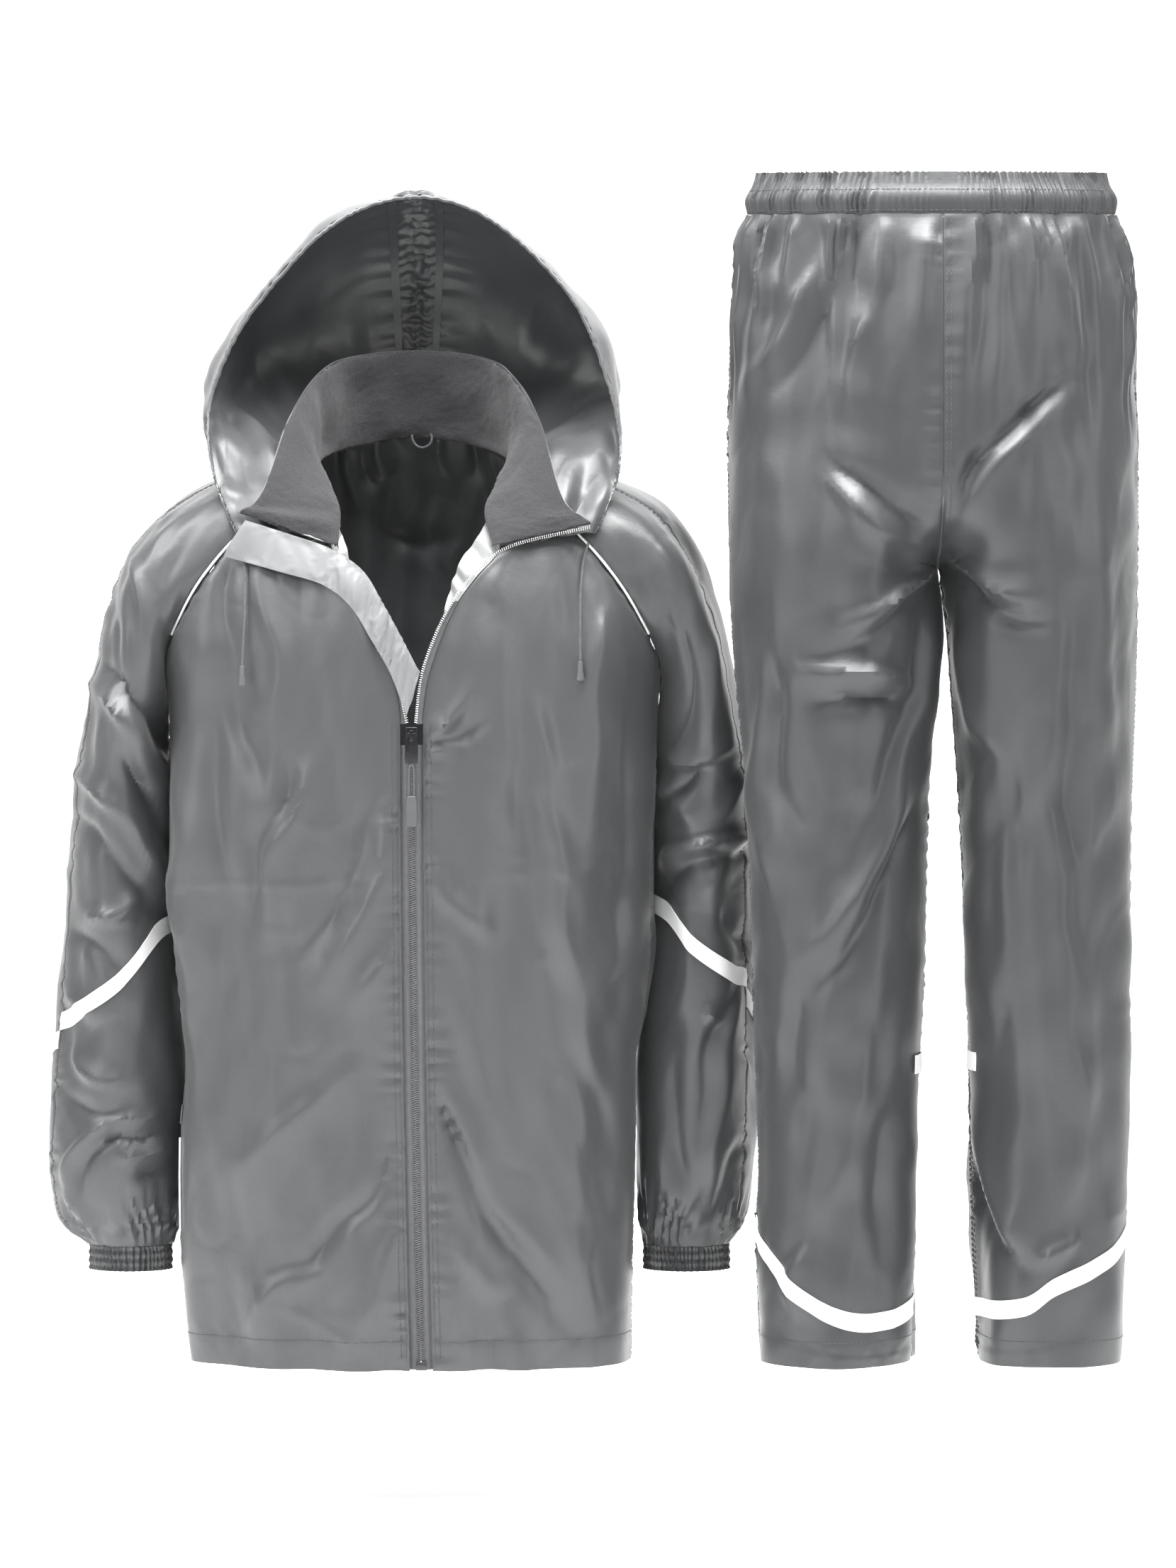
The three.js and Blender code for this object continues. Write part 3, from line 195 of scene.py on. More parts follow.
# Camera: the photo's frame is so high at the garments, seen from this far away
FRAME_HEIGHT = 1.3272
CAMERA_DISTANCE = 7.0
CAMERA_TILT = 3.0
CAMERA_AIM = (0.1485, -0.09, -0.2496)
SENSOR = 24.0
FLOOR_Z = -0.86
FLOOR_REACH = 9.0
SWEEP_RADIUS = 1.2
BACKDROP_HEIGHT = 6
FLOOR_GLOW = 0.5
BACKDROP_GLOW = 0.85
SKY_STRENGTH = 0.34


# Darkest and lightest colour of each coated cloth, as linear shares of light, and its creases' strength
CLOTH_COLOUR = {
    "jacket": ((0.045, 0.0465, 0.0485), (0.071, 0.0735, 0.076)),
    "trouser": ((0.030, 0.0315, 0.033), (0.048, 0.050, 0.0525)),
    "silver": ((0.175, 0.178, 0.181), (0.235, 0.238, 0.241)),
}
CRINKLE = 0.3

# Lights, in metres and watts: name, place, aim, size and power
LIGHTS = [
    ("top", (0.1, -0.7, 2.1), (0.15, 0, -0.1), (2.0, 0.9), 150),
    ("key", (-2.2, -2.0, 0.9), (0.1, 0, -0.25), (0.7, 2.0), 26),
    ("fill", (2.7, -1.9, 0.5), (0.2, 0, -0.3), (0.7, 2.0), 16),
    ("rim", (0.2, 2.4, 1.6), (0.15, 0, -0.2), (3.0, 1.6), 40),
    ("shoulder left", (-1.2, -0.3, 1.1), (-0.2, 0, 0), (0.5, 0.9), 21),
    ("shoulder right", (0.85, -0.3, 1.3), (0.18, 0, 0), (0.5, 0.9), 32),
    ("hood", (0, -1.3, 0.5), (0, 0.1, 0.2), (0.6, 0.4), 3),
]


# A table has named columns, and its first column is the place that the others are read at
def table(columns, rows):
    return columns.split(), np.array(rows, float)


BODY = table("z left right front side back", [
    [-746, 190, 185, -116, -22, 112],
    [-640, 200, 187, -120, -24, 116],
    [-545, 198, 189, -122, -25, 118],
    [-487, 195, 189, -123, -25, 119],
    [-428, 202, 199, -125, -25, 121],
    [-383, 206, 202, -126, -25, 123],
    [-312, 208, 203, -128, -22, 125],
    [-250, 210, 206, -129, -10, 126],
    [-190, 210, 208, -128, 8, 125],
])

# Edge of each front from the armpit row up to the top of the raglan seam
EDGE = {
    "left": table("row x z y", [
        [0, 9.5, -190, -128],
        [0.5, 14, -160, -129],
        [1, 22, -132, -128],
        [2, 36, -100, -123],
        [3, 52, -76, -115],
        [4, 69, -48, -101],
        [5, 68, -22, -79],
        [6, 71.5, -2.5, -57],
    ]),
    "right": table("row x z y", [
        [0, 9.5, -190, -128],
        [0.5, 14, -160, -129],
        [1, 24, -129, -128],
        [2, 37, -99, -123],
        [3, 54, -75, -115],
        [4, 75, -49, -101],
        [5, 70, -22, -79],
        [6, 72.5, -2.5, -57],
    ]),
}

BACK_CENTRE = table("row z y", [
    [0, -190, 125],
    [0.5, -150, 124],
    [1, -112, 122],
    [2, -64, 116],
    [3, -24, 107],
    [4, 12, 94],
    [5, 34, 82],
    [6, 46, 74],
])

# Sleeves: raglan rows from the neck, and arm rows from the armpit to the cuff, where the sleeve is a tube
# and its front and back edges meet at in_x
def sleeve_table(raglan, arm):
    closed = [[row, over_x, z, in_x, z, in_x, z, y, depth, 180] for row, over_x, z, in_x, y, depth in arm]
    return table("row over_x over_z front_x front_z back_x back_z y depth wrap", raglan + closed)


SLEEVE = {
    "left": sleeve_table([
        [0, 84, 25, 76, 0, 58, 38, 1, 60, 62],
        [1, 128, 17, 113, -14, 98, 16, 2, 70, 76],
        [2, 170, 6, 150, -45, 138, -20, 4, 78, 90],
        [3, 213, -18, 178, -79, 170, -62, 5, 80, 104],
        [4, 243, -53, 196, -109, 192, -98, 6, 81, 124],
        [5, 262, -105, 209, -137, 206, -133, 6, 82, 148],
        [5.5, 269, -142, 212, -158, 211, -156, 6, 82, 164],
    ], [
        [6, 277, -190, 211, 8, 81],
        [7, 288, -241, 210, 20, 80],
        [8, 294, -293, 207, 30, 78],
        [9, 299, -344, 206, 34, 76],
        [10, 304, -395, 204, 34, 75],
        [11, 309, -447, 200, 33, 74],
        [12, 312, -498, 196, 32, 72],
        [13, 313, -549, 198, 30, 70],
        [14, 311, -601, 201, 28, 64],
        [14.6, 302, -632, 204, 27, 50],
        [15, 283, -652, 210, 26, 32],
    ]),
    "right": sleeve_table([
        [0, 84, 25, 77, 0, 58, 38, 1, 60, 62],
        [1, 130, 17, 112, -16, 98, 16, 2, 70, 76],
        [2, 174, 4, 148, -50, 136, -22, 4, 78, 90],
        [3, 215, -18, 172, -80, 166, -62, 5, 80, 104],
        [4, 241, -52, 190, -108, 188, -98, 6, 81, 124],
        [5, 259, -102, 205, -137, 203, -133, 6, 82, 148],
        [5.5, 268, -142, 210.5, -158, 209, -156, 6, 82, 164],
    ], [
        [6, 278, -190, 209, 8, 81],
        [7, 287, -241, 206, 20, 80],
        [8, 291, -293, 203, 30, 78],
        [9, 293, -344, 202, 34, 76],
        [10, 295, -395, 200, 34, 75],
        [11, 296, -447, 195, 33, 74],
        [12, 296, -498, 190, 32, 72],
        [13, 295, -549, 190, 30, 70],
        [14, 289, -601, 191, 28, 64],
        [14.6, 281, -632, 194, 27, 50],
        [15, 270, -652, 197, 26, 32],
    ]),
}

# Sleeve stripe: its row, and how many rows it drops at each place round the sleeve
STRIPE_ROW = 10.34
STRIPE_ROWS = STRIPE_WIDTH / SLEEVE_ROW_DROP
OVER_ARM = {"left": -0.1, "right": -0.2}
STRIPE_DROP = {
    "left": table("turn rows", [
        [-1, -0.95], [-0.75, -0.78], [-0.5, 0.05], [-0.25, 0.58], [-0.1, 0.74], [0.2, 1.1], [0.6, 0.6],
        [1, -0.95],
    ]),
    "right": table("turn rows", [
        [-1, -1.3], [-0.75, -1.1], [-0.5, -0.45], [-0.32, -0.1], [-0.2, 0], [0, 0.6], [0.5, 0.6], [1, -1.3],
    ]),
}

LEGS = table("z left right left_in right_in front back", [
    [-738, 147.6, 155.6, 22.2, 36, 80, 82],
    [-681, 151.8, 157.5, 21.8, 33, 82, 84],
    [-628, 153, 159, 20.5, 31, 82, 84],
    [-574, 151.2, 160.8, 19, 29.4, 82, 84],
    [-520, 153, 163, 16.5, 28, 82, 84],
    [-413, 156.6, 162.6, 10.8, 25.5, 84, 86],
    [-268, 160.8, 164.4, 7.5, 18, 88, 92],
    [-175, 169.8, 167.4, 3.5, 11.5, 94, 100],
    [-122, 174, 168.6, 2, 8, 98, 108],
    [-68, 175.8, 169, 0.6, 1.8, 104, 117],
    [32, 177.6, 168.6, 0, 0, 112, 126],
    [91, 177, 165.6, 0, 0, 112, 124],
    [149, 174.6, 164.4, 0, 0, 108, 118],
    [201, 170, 158, 0, 0, 98, 106],
    [231, 162, 150, 0, 0, 88, 92],
])

LEG_STRIPE = {
    "front": {
        "z": -660,
        "reach": (-400, -738),
        "left": table("share rise", [[0, 36], [0.2, 8], [0.45, -30], [0.65, -40], [1, -28]]),
        "right": table("share rise", [[0, 42], [0.3, 8], [0.5, -10], [0.62, -26], [1, -34]]),
    },
    "back": {
        "z": -545,
        "reach": (-250, -738),
        "left": table("share rise", [[0, -62], [0.3, -40], [0.7, 40], [1, 60]]),
        "right": table("share rise", [[0, -59], [0.3, -38], [0.7, 42], [1, 62]]),
    },
}

WAISTBAND = table("z out ribs", [
    [231.6, -0.5, 0.5],
    [244, 0.5, 1],
    [256, -5, 0.4],
    [266, -9, 1.6],
])

COLLAR = table("place seam_x seam_y seam_z top_x top_y top_z", [
    [-1, -69, -106, -46, -147, -90, -20],
    [-0.82, -66.5, -85.5, -19, -128, -80, -4],
    [-0.62, -74, -51, 4.5, -107, -38, 58],
    [-0.42, -83, 2, 27, -84, 10, 95],
    [-0.22, -56, 53.5, 40, -58, 48, 111],
    [0, 0, 73, 47.5, 0, 66, 117],
    [0.22, 56, 53.5, 40, 58, 48, 111],
    [0.42, 83, 2, 27, 84, 10, 95],
    [0.62, 74, -51, 4.5, 108, -38, 56],
    [0.82, 66.5, -85.5, -19, 128, -80, -8],
    [1, 75, -106, -47, 152, -90, -29],
])

HOOD = table(
    "place rim_x rim_y rim_z shape_x shape_y shape_z full_x full_y full_z neck_x neck_y neck_z", [
        [-1, -148, -79, -41, -126, -88, -39, -100, -96, -42, -73, -102, -47],
        [-0.88, -159, -68, -18, -140, -62, 2, -116, -67, 5, -72, -84, -27],
        [-0.76, -170, -48, 10, -164, -6, 40, -136, -4, 55, -77.5, -63.5, -5],
        [-0.64, -176, -28, 47, -186, 44, 70, -150, 60, 74, -84, -32, 16],
        [-0.5, -170, -10, 88, -194, 84, 118, -150, 130, 66, -87, 4, 28.6],
        [-0.34, -140, 4, 148, -160, 112, 190, -118, 176, 84, -72, 41, 38],
        [-0.16, -70, 12, 224, -84, 126, 258, -62, 198, 96, -36, 69, 46],
        [0, 0, 14, 248, 0, 130, 282, 0, 204, 100, 0, 75.5, 49.5],
        [0.16, 66, 12, 228, 80, 126, 260, 60, 198, 96, 36, 69, 46],
        [0.34, 134, 4, 162, 158, 112, 192, 118, 176, 84, 72, 41, 38],
        [0.5, 164, -10, 94, 192, 84, 118, 150, 130, 66, 87, 4, 28.6],
        [0.64, 176, -28, 44, 186, 44, 66, 150, 60, 72, 84, -32, 16.5],
        [0.76, 175, -48, 12, 164, -6, 38, 136, -4, 55, 77.5, -63.5, -4],
        [0.88, 166, -68, -14, 146, -62, 2, 118, -67, 5, 72, -84, -27],
        [1, 155, -79, -38, 132, -88, -37, 104, -96, -42, 79, -101.5, -48],
    ])

FLAP = table("place inner_x inner_y inner_z outer_x outer_y outer_z", [
    [0, 7, -136, -153, -4, -136, -190],
    [0.2, -8, -135, -124, -18, -134, -154],
    [0.4, -24, -130, -95, -34, -132, -126],
    [0.6, -42, -120, -67, -52, -125, -98],
    [0.75, -70, -109, -49, -76, -117, -80],
    [0.88, -106, -100, -37, -114, -107, -69],
    [1, -141, -93, -26, -160, -87, -57],
])

FACING_SHIFT = 0.8
FACING = {
    "left": table("row in_x in_y in_z", [[3, -2, 3, 2], [3.75, -9, 10, 9], [4.5, -6, 12, 10]]),
    "right": table("row in_x in_y in_z", [
        [1.5, -3, 4, 6], [2.6, -10, 11, 13], [3.75, -14, 15, 18], [4.5, -10, 16, 20],
    ]),
}

# Open zip edge on each side, from the slider up
OPEN_ZIP = {
    "left": table("place x y z", [
        [0, -3.6, -130, -197],
        [0.3, -11.8, -129.6, -160],
        [0.6, -19.8, -129.3, -130],
    ]),
    "right": table("place x y z", [
        [0, 3.4, -132, -197],
        [0.16, 8, -133.5, -158],
        [0.32, 19, -132.5, -125],
        [0.48, 33, -128, -97],
        [0.64, 51, -121, -73],
        [0.78, 82, -107.6, -48.6],
        [1, 151, -92, -32],
    ]),
}

# Drawcords, from the eyelet to the bell end, in metres
CORD_DIAMETER = 0.0024
LOOP_DIAMETER = 0.0022
DRAWCORD = {
    "left": [(-0.146, -0.0825, -0.045), (-0.144, -0.0865, -0.051), (-0.142, -0.0915, -0.062),
             (-0.141, -0.0995, -0.080), (-0.141, -0.105, -0.100), (-0.142, -0.1098, -0.125),
             (-0.143, -0.1125, -0.148)],
    "right": [(0.149, -0.0825, -0.046), (0.1465, -0.0862, -0.053), (0.144, -0.0912, -0.066),
              (0.1425, -0.0989, -0.084), (0.142, -0.1038, -0.102), (0.142, -0.1083, -0.124),
              (0.142, -0.1118, -0.144)],
}

# The pull's cord and the hanger loop, in metres
PULL_ROUTE = [
    (-0.002, -0.1346, -0.257), (-0.0021, -0.1346, -0.246), (-0.0019, -0.1346, -0.236),
    (-0.001, -0.1346, -0.2323), (0, -0.1346, -0.2314), (0.001, -0.1346, -0.2323),
    (0.0019, -0.1346, -0.236), (0.0021, -0.1346, -0.246), (0.002, -0.1346, -0.257),
]
LOOP_ROUTE = [
    (-0.003, 0.072, 0.0462), (-0.0034, 0.0695, 0.041), (0, 0.069, 0.035), (0.006, 0.069, 0.033),
    (0.012, 0.069, 0.036), (0.0136, 0.069, 0.041), (0.0126, 0.0704, 0.0456),
]
PULL_CORD_RADIUS = 0.0009

# Folds as seen from one side, in the columns x1 z1 x2 z2 bow wide high lean: the two ends, how far the line
# bows, half the width, the height, and how one-sided it is
JACKET_FRONT_FOLDS = [
    [-190, -190, -182, -486, 6, 15, 4.5, 0.3],
    [-168, -190, -172, -480, -5, 12, -4, -0.2],
    [-158, -66, -132, -246, 8, 13, -4.5, 0.3],
    [-130, -80, -112, -200, -6, 11, 3, 0.2],
    [-85, -236, -123, -363, 6, 13, 5, 0.4],
    [-106, -230, -150, -372, -5, 11, -4, -0.3],
    [-12, -259, -73, -413, -9, 13, 5, 0.4],
    [-30, -246, -96, -398, -9, 12, -4, -0.3],
    [-10, -363, -40, -433, -4, 9, 4, 0.3],
    [-7, -544, -98, -663, -8, 12, -5, 0.4],
    [-12, -560, -104, -682, -8, 9, 3.5, 0.2],
    [-98, -663, -139, -713, 4, 10, 4.5, 0.2],
    [-5, -600, -47, -713, -5, 10, 4, 0.3],
    [-60, -500, -150, -590, 6, 14, 3.5, 0.2],
    [11, -210, 47, -170, 4, 7, 4.5, 0.4],
    [11, -216, 62, -196, 4, 7, -3, 0.2],
    [11, -225, 31, -217, 0, 6, 3.5, 0.3],
    [109, -223, 162, -515, 9, 16, 5, 0.4],
    [90, -230, 136, -480, 8, 14, -3.5, -0.2],
    [13, -495, 128, -701, 9, 13, -5, 0.4],
    [12, -478, 132, -678, 10, 11, 4, 0.2],
    [38, -638, 71, -679, 3, 9, 4, 0.2],
    [14, -320, 66, -372, 4, 10, 3.5, 0.3],
    [160, -110, 150, -230, 6, 11, 4, 0.3],
    [182, -200, 176, -420, -4, 12, -3.5, 0.2],
    [60, -90, 96, -190, -8, 14, -2.5, 0.2],
    [-113, -693, -43, -725, 2, 3, 1.2, 0.2],
    [-133, -663, -123, -695, 2, 3, 1, 0.2],
]
JACKET_BACK_FOLDS = [
    [-150, -120, -90, -330, 8, 15, 4, 0.3],
    [-120, -110, -70, -280, 8, 13, -3.5, -0.2],
    [140, -110, 96, -300, -8, 15, 4, 0.3],
    [110, -100, 66, -270, -6, 12, -3.5, 0.2],
    [-40, -300, -70, -560, 6, 16, -4.5, 0.2],
    [60, -260, 30, -520, -8, 17, 4.5, 0.3],
    [-130, -480, -100, -700, 6, 15, 4, 0.2],
    [130, -460, 100, -690, -6, 15, -4, 0.2],
    [-190, -200, -180, -520, 6, 13, 4, 0.2],
    [190, -200, 176, -500, -6, 13, 4, 0.2],
    [0, -560, 40, -700, 4, 13, 3.5, 0.2],
    [-30, -40, 34, -46, 12, 11, 3, 0.2],
    [-60, 42, -52, -20, 3, 5, -3.6, 0.3],
    [-46, 44, -34, 0, 3, 5, 3, 0.2],
    [-37, 46, -24, 14, 2, 4, -3, 0.3],
    [56, 40, 67, -14, -3, 5, -3.6, 0.3],
    [42, 44, 52, 4, -3, 5, 3, 0.2],
    [20, 46, 26, 10, 2, 5, -2.4, 0.2],
]
SLEEVE_FRONT_FOLDS = {
    "left": [
        [-240, -60, -229, -205, -10, 9, 5, 0.3],
        [-262, -100, -252, -186, -6, 9, -4, 0.2],
        [-270, -147, -211, -243, -16, 9, -6.5, 0.4],
        [-280, -166, -214, -268, -16, 9, 6, 0.2],
        [-287, -244, -214, -347, -12, 10, 7, 0.4],
        [-252, -186, -209, -328, -8, 8, 6, 0.3],
        [-242, -232, -209, -328, -6, 6, -8, 0.2],
        [-294, -282, -222, -372, -9, 8, -5, -0.3],
        [-282, -362, -236, -352, 6, 7, 5, 0.3],
        [-266, -358, -250, -368, 3, 4, 3.5, 0.2],
        [-296, -380, -240, -420, -6, 10, -5, 0.3],
        [-306, -430, -262, -452, 5, 9, 4, 0.3],
        [-292, -486, -250, -511, 6, 8, 5.5, 0.4],
        [-298, -520, -258, -538, 5, 7, -4.5, 0.2],
        [-252, -541, -298, -599, 16, 6, 6.5, 0.5],
        [-246, -556, -288, -600, 14, 6, -5.5, -0.2],
        [-252, -540, -216, -534, 4, 5, 4.5, 0.3],
        [-257, -559, -213, -549, 5, 5, -4.5, 0.3],
        [-254, -574, -212, -566, 4, 5, 4.5, 0.2],
        [-262, -615, -240, -630, 5, 5, 4.5, 0.3],
        [-240, -590, -210, -584, 3, 5, -4, 0.2],
        [-300, -606, -270, -630, 6, 6, 4, 0.2],
    ],
    "right": [
        [230, -120, 220, -225, -6, 8, -5.5, 0.3],
        [250, -130, 256, -235, 6, 12, 4.5, 0.3],
        [216, -226, 262, -230, 5, 7, 7, 0.5],
        [262, -231, 214, -268, 6, 7, -6.5, 0.4],
        [210, -250, 246, -285, -4, 8, 5.5, 0.2],
        [278, -295, 212, -325, 7, 8, 6.5, 0.4],
        [284, -306, 216, -346, 8, 8, -5.5, 0.2],
        [278, -297, 250, -350, 5, 8, 4.5, 0.3],
        [280, -250, 262, -284, 3, 8, 4, 0.2],
        [248, -443, 262, -455, 3, 6, 4.5, 0.3],
        [278, -431, 256, -600, 6, 9, 5, 0.4],
        [266, -440, 246, -555, 5, 8, -4, 0.2],
        [240, -380, 214, -460, -5, 11, 4, 0.3],
        [262, -360, 286, -400, 3, 8, -4, 0.2],
        [222, -500, 232, -600, 4, 9, -4, 0.2],
        [276, -560, 262, -626, 4, 7, -4.5, 0.2],
        [212, -560, 220, -620, 3, 7, 4, 0.2],
    ],
}
SLEEVE_BACK_FOLDS = {
    "left": [
        [-250, -190, -214, -300, 8, 10, 5.5, 0.3],
        [-290, -240, -222, -330, -9, 10, -5, 0.2],
        [-300, -330, -226, -392, -9, 11, 6, 0.3],
        [-296, -400, -240, -440, 6, 11, -5, 0.2],
        [-300, -520, -220, -556, -9, 9, 5.5, 0.3],
        [-290, -570, -214, -590, 8, 8, -5, 0.2],
        [-230, -420, -226, -530, 5, 12, 4, 0.2],
    ],
    "right": [
        [250, -190, 214, -300, -8, 10, 5.5, 0.3],
        [288, -240, 220, -330, 9, 10, -5, 0.2],
        [290, -340, 222, -396, 9, 11, 6, 0.3],
        [288, -410, 236, -446, -6, 11, -5, 0.2],
        [286, -520, 212, -556, 9, 9, 5.5, 0.3],
        [280, -574, 208, -592, -8, 8, -5, 0.2],
        [226, -420, 222, -530, -5, 12, 4, 0.2],
    ],
}
TROUSER_FRONT_FOLDS = [
    [336, 193, 287, 91, -6, 10, 5, 0.4],
    [352, 190, 310, 84, -6, 9, -3.5, 0.2],
    [380, 146, 365, 68, 4, 8, 4.5, 0.3],
    [359, 21, 432, -23, 7, 9, -6, 0.4],
    [350, 6, 424, -40, 8, 9, 5, 0.2],
    [547, 88, 450, -17, 12, 10, -6, 0.4],
    [536, 66, 454, -34, 12, 9, 5, 0.2],
    [440, -52, 365, -113, -8, 9, 6.5, 0.4],
    [438, -72, 356, -134, -8, 8, -5, 0.2],
    [415, -160, 330, -151, 8, 9, 5.5, 0.4],
    [412, -178, 340, -176, 6, 8, -4.5, 0.2],
    [443, -93, 377, -299, -12, 11, 6, 0.4],
    [430, -120, 360, -320, -12, 10, -5, 0.2],
    [423, -268, 347, -413, -9, 11, -6, 0.4],
    [412, -250, 340, -380, -8, 10, 5, 0.2],
    [301, -145, 325, -290, 10, 10, -5.5, 0.3],
    [290, -170, 310, -330, 10, 10, 4.5, 0.2],
    [452, -52, 519, -87, 8, 9, 6.5, 0.4],
    [455, -74, 526, -112, 8, 8, -5, 0.2],
    [455, -110, 500, -230, 8, 11, 4.5, 0.3],
    [329, -640, 322, -690, 4, 11, 5, 0.3],
    [475, -532, 521, -643, 8, 10, 5.5, 0.4],
    [466, -548, 508, -650, 8, 9, -4.5, 0.2],
    [526, -646, 561, -628, 4, 7, 4.5, 0.3],
    [556, -120, 570, -420, 10, 14, -4.5, 0.2],
    [540, -160, 552, -400, 10, 13, 4.5, 0.2],
    [545, 200, 563, 110, 4, 9, 4, 0.3],
    [380, -470, 352, -600, -8, 13, 4, 0.3],
    [500, -300, 486, -470, -8, 13, 4, 0.3],
    [322, -420, 330, -560, 6, 13, -4, 0.2],
    [402, -520, 396, -640, 4, 10, -3.5, 0.2],
    [560, -470, 548, -600, -6, 12, 4, 0.2],
]
TROUSER_BACK_FOLDS = [
    [345, 190, 305, 60, -6, 12, 5, 0.3],
    [545, 190, 585, 60, 6, 12, 5, 0.3],
    [431, -60, 355, -100, -8, 12, -6, 0.3],
    [459, -60, 535, -104, 8, 12, -6, 0.3],
    [428, -90, 350, -150, -8, 10, 5.5, 0.3],
    [462, -90, 540, -150, 8, 10, 5.5, 0.3],
    [345, -380, 395, -430, 8, 12, 5, 0.3],
    [545, -390, 500, -436, -8, 12, 5, 0.3],
    [365, -180, 335, -360, -8, 14, 4, 0.3],
    [529, -170, 561, -350, 8, 14, 4, 0.3],
    [350, -520, 380, -660, 8, 13, -4, 0.2],
    [545, -500, 520, -650, -8, 13, -4, 0.2],
]
PACKING_CREASE_Z = -330


def smooth(value):
    t = np.clip(value, 0.0, 1.0)
    return t * t * (3 - 2 * t)


def lerp(low, high, share):
    return low + (high - low) * share


def row_at(source, place):
    """All the columns of a table at many places, on a smooth curve through its rows."""
    names, rows = source
    keys = rows[:, 0]
    last = len(keys) - 1
    before = np.maximum(np.arange(last + 1) - 1, 0)
    after = np.minimum(np.arange(last + 1) + 1, last)
    slopes = (rows[after] - rows[before]) / (keys[after] - keys[before])[:, None]
    place = np.asarray(place, float)
    index = np.clip(np.searchsorted(keys, place, side="left") - 1, 0, last - 1)
    span = keys[index + 1] - keys[index]
    t = np.clip((place - keys[index]) / span, 0, 1)
    result = {}
    for column, name in enumerate(names):
        value = (2 * t**3 - 3 * t**2 + 1) * rows[index, column]
        value += (3 * t**2 - 2 * t**3) * rows[index + 1, column]
        value += (t**3 - 2 * t**2 + t) * span * slopes[index, column]
        value += (t**3 - t**2) * span * slopes[index + 1, column]
        result[name] = value
    return result


def waves(x, z, seed, size, count=10):
    """A smooth random field, mostly from -1 to 1, with bumps of one size."""
    random = np.random.default_rng(seed)
    total = np.zeros_like(x)
    for _ in range(count):
        angle = random.uniform(0, 2 * math.pi)
        pitch = 2 * math.pi / (size * random.uniform(0.7, 1.5))
        phase = random.uniform(0, 2 * math.pi)
        total += np.sin(pitch * (x * math.cos(angle) + z * math.sin(angle)) + phase)
    return total / math.sqrt(count / 2)


def fold_height(folds, x, z, seed):
    """Height of the listed folds. Each bows, wanders a little, and fades at its ends and sides."""
    wander_x = x + WANDER * waves(x, z, seed, WANDER_SIZE)
    wander_z = z + WANDER * waves(x, z, seed + 1, WANDER_SIZE)
    height = np.zeros_like(x)
    for x1, z1, x2, z2, bow, wide, high, lean in folds:
        length = math.hypot(x2 - x1, z2 - z1)
        along_x = (x2 - x1) / length
        along_z = (z2 - z1) / length
        along = ((wander_x - x1) * along_x + (wander_z - z1) * along_z) / length
        across = (wander_x - x1) * along_z - (wander_z - z1) * along_x
        across -= bow * 4 * along * (1 - along)
        width = wide * (1 - lean * np.tanh(across / wide)) * (0.75 + 0.5 * np.clip(along, 0, 1))
        taper = smooth((along + 0.22) / 0.5) * smooth((1.22 - along) / 0.5)
        high = math.copysign(min(abs(high), STEEPEST * wide), high)
        share = across / width
        crest = np.exp(-CREST_SHARPNESS * (np.sqrt(share**2 + CREST_ROUNDING) - CREST_TOP))
        height += high * taper * lerp(np.exp(-(share**2)), crest, CREST_SHARE)
    return height


def crumple(x, z, seed, size, high):
    """Fine creases left by packing and wear: narrow ridges along the zero lines of a random field."""
    lines = waves(x, z, seed, size)
    strength = smooth(0.5 + 0.6 * waves(x, z, seed + 7, size * 2.2))
    return high * strength * np.exp(-((lines / 0.22) ** 2))


def pucker(distance, along, seed, pitch, high, reach):
    """Small gathers beside a seam, strongest at the seam."""
    uneven = waves(along, distance * 0.3, seed, pitch * 5)
    ripple = np.sin(2 * math.pi * along / pitch + 1.4 * uneven)
    near = np.exp(-((distance / reach) ** 2)) * smooth(np.abs(distance) / 3)
    return high * ripple * (0.7 + 0.5 * uneven) * near


def grid_normals(points, sign, closed=False):
    """Out directions of a grid of points, from its neighbours on both sides."""
    if closed:
        across = np.roll(points, -1, axis=1) - np.roll(points, 1, axis=1)
    else:
        across = np.gradient(points, axis=1)
    up = np.gradient(points, axis=0)
    normals = np.cross(across, up)
    length = np.linalg.norm(normals, axis=2, keepdims=True)
    return sign * normals / np.maximum(length, 1e-9)


def edge_distances(points):
    """How far each point of a grid lies from its four edges, along the cloth."""
    across = np.linalg.norm(np.diff(points, axis=1), axis=2)
    up = np.linalg.norm(np.diff(points, axis=0), axis=2)
    start = np.concatenate([np.zeros((points.shape[0], 1)), np.cumsum(across, axis=1)], axis=1)
    bottom = np.concatenate([np.zeros((1, points.shape[1])), np.cumsum(up, axis=0)], axis=0)
    return {
        "start": start,
        "end": start[:, -1:] - start,
        "bottom": bottom,
        "top": bottom[-1:, :] - bottom,
    }


def places(start, end, size, step, extra=()):
    """Places along one side of a grid, about a step apart, with two close ones at each end."""
    count = max(int(round(size / step)), 2)
    shares = np.linspace(0, 1, count + 1)
    close = np.array([0.25, 0.6]) / count
    shares = np.unique(np.concatenate([shares, close, 1 - close]))
    values = start + (end - start) * shares
    return np.unique(np.concatenate([values, np.asarray(extra, float)]))


def link_mesh(name, vertices, faces, material, crease=50):
    mesh = bpy.data.meshes.new(name)
    mesh.from_pydata([tuple(v) for v in vertices], [], [tuple(f) for f in faces])
    mesh.validate()
    mesh.polygons.foreach_set("use_smooth", [True] * len(mesh.polygons))
    mesh.set_sharp_from_angle(angle=math.radians(crease))
    mesh.materials.append(material)
    piece = bpy.data.objects.new(name, mesh)
    bpy.context.scene.collection.objects.link(piece)
    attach(piece, SUIT)
    return piece


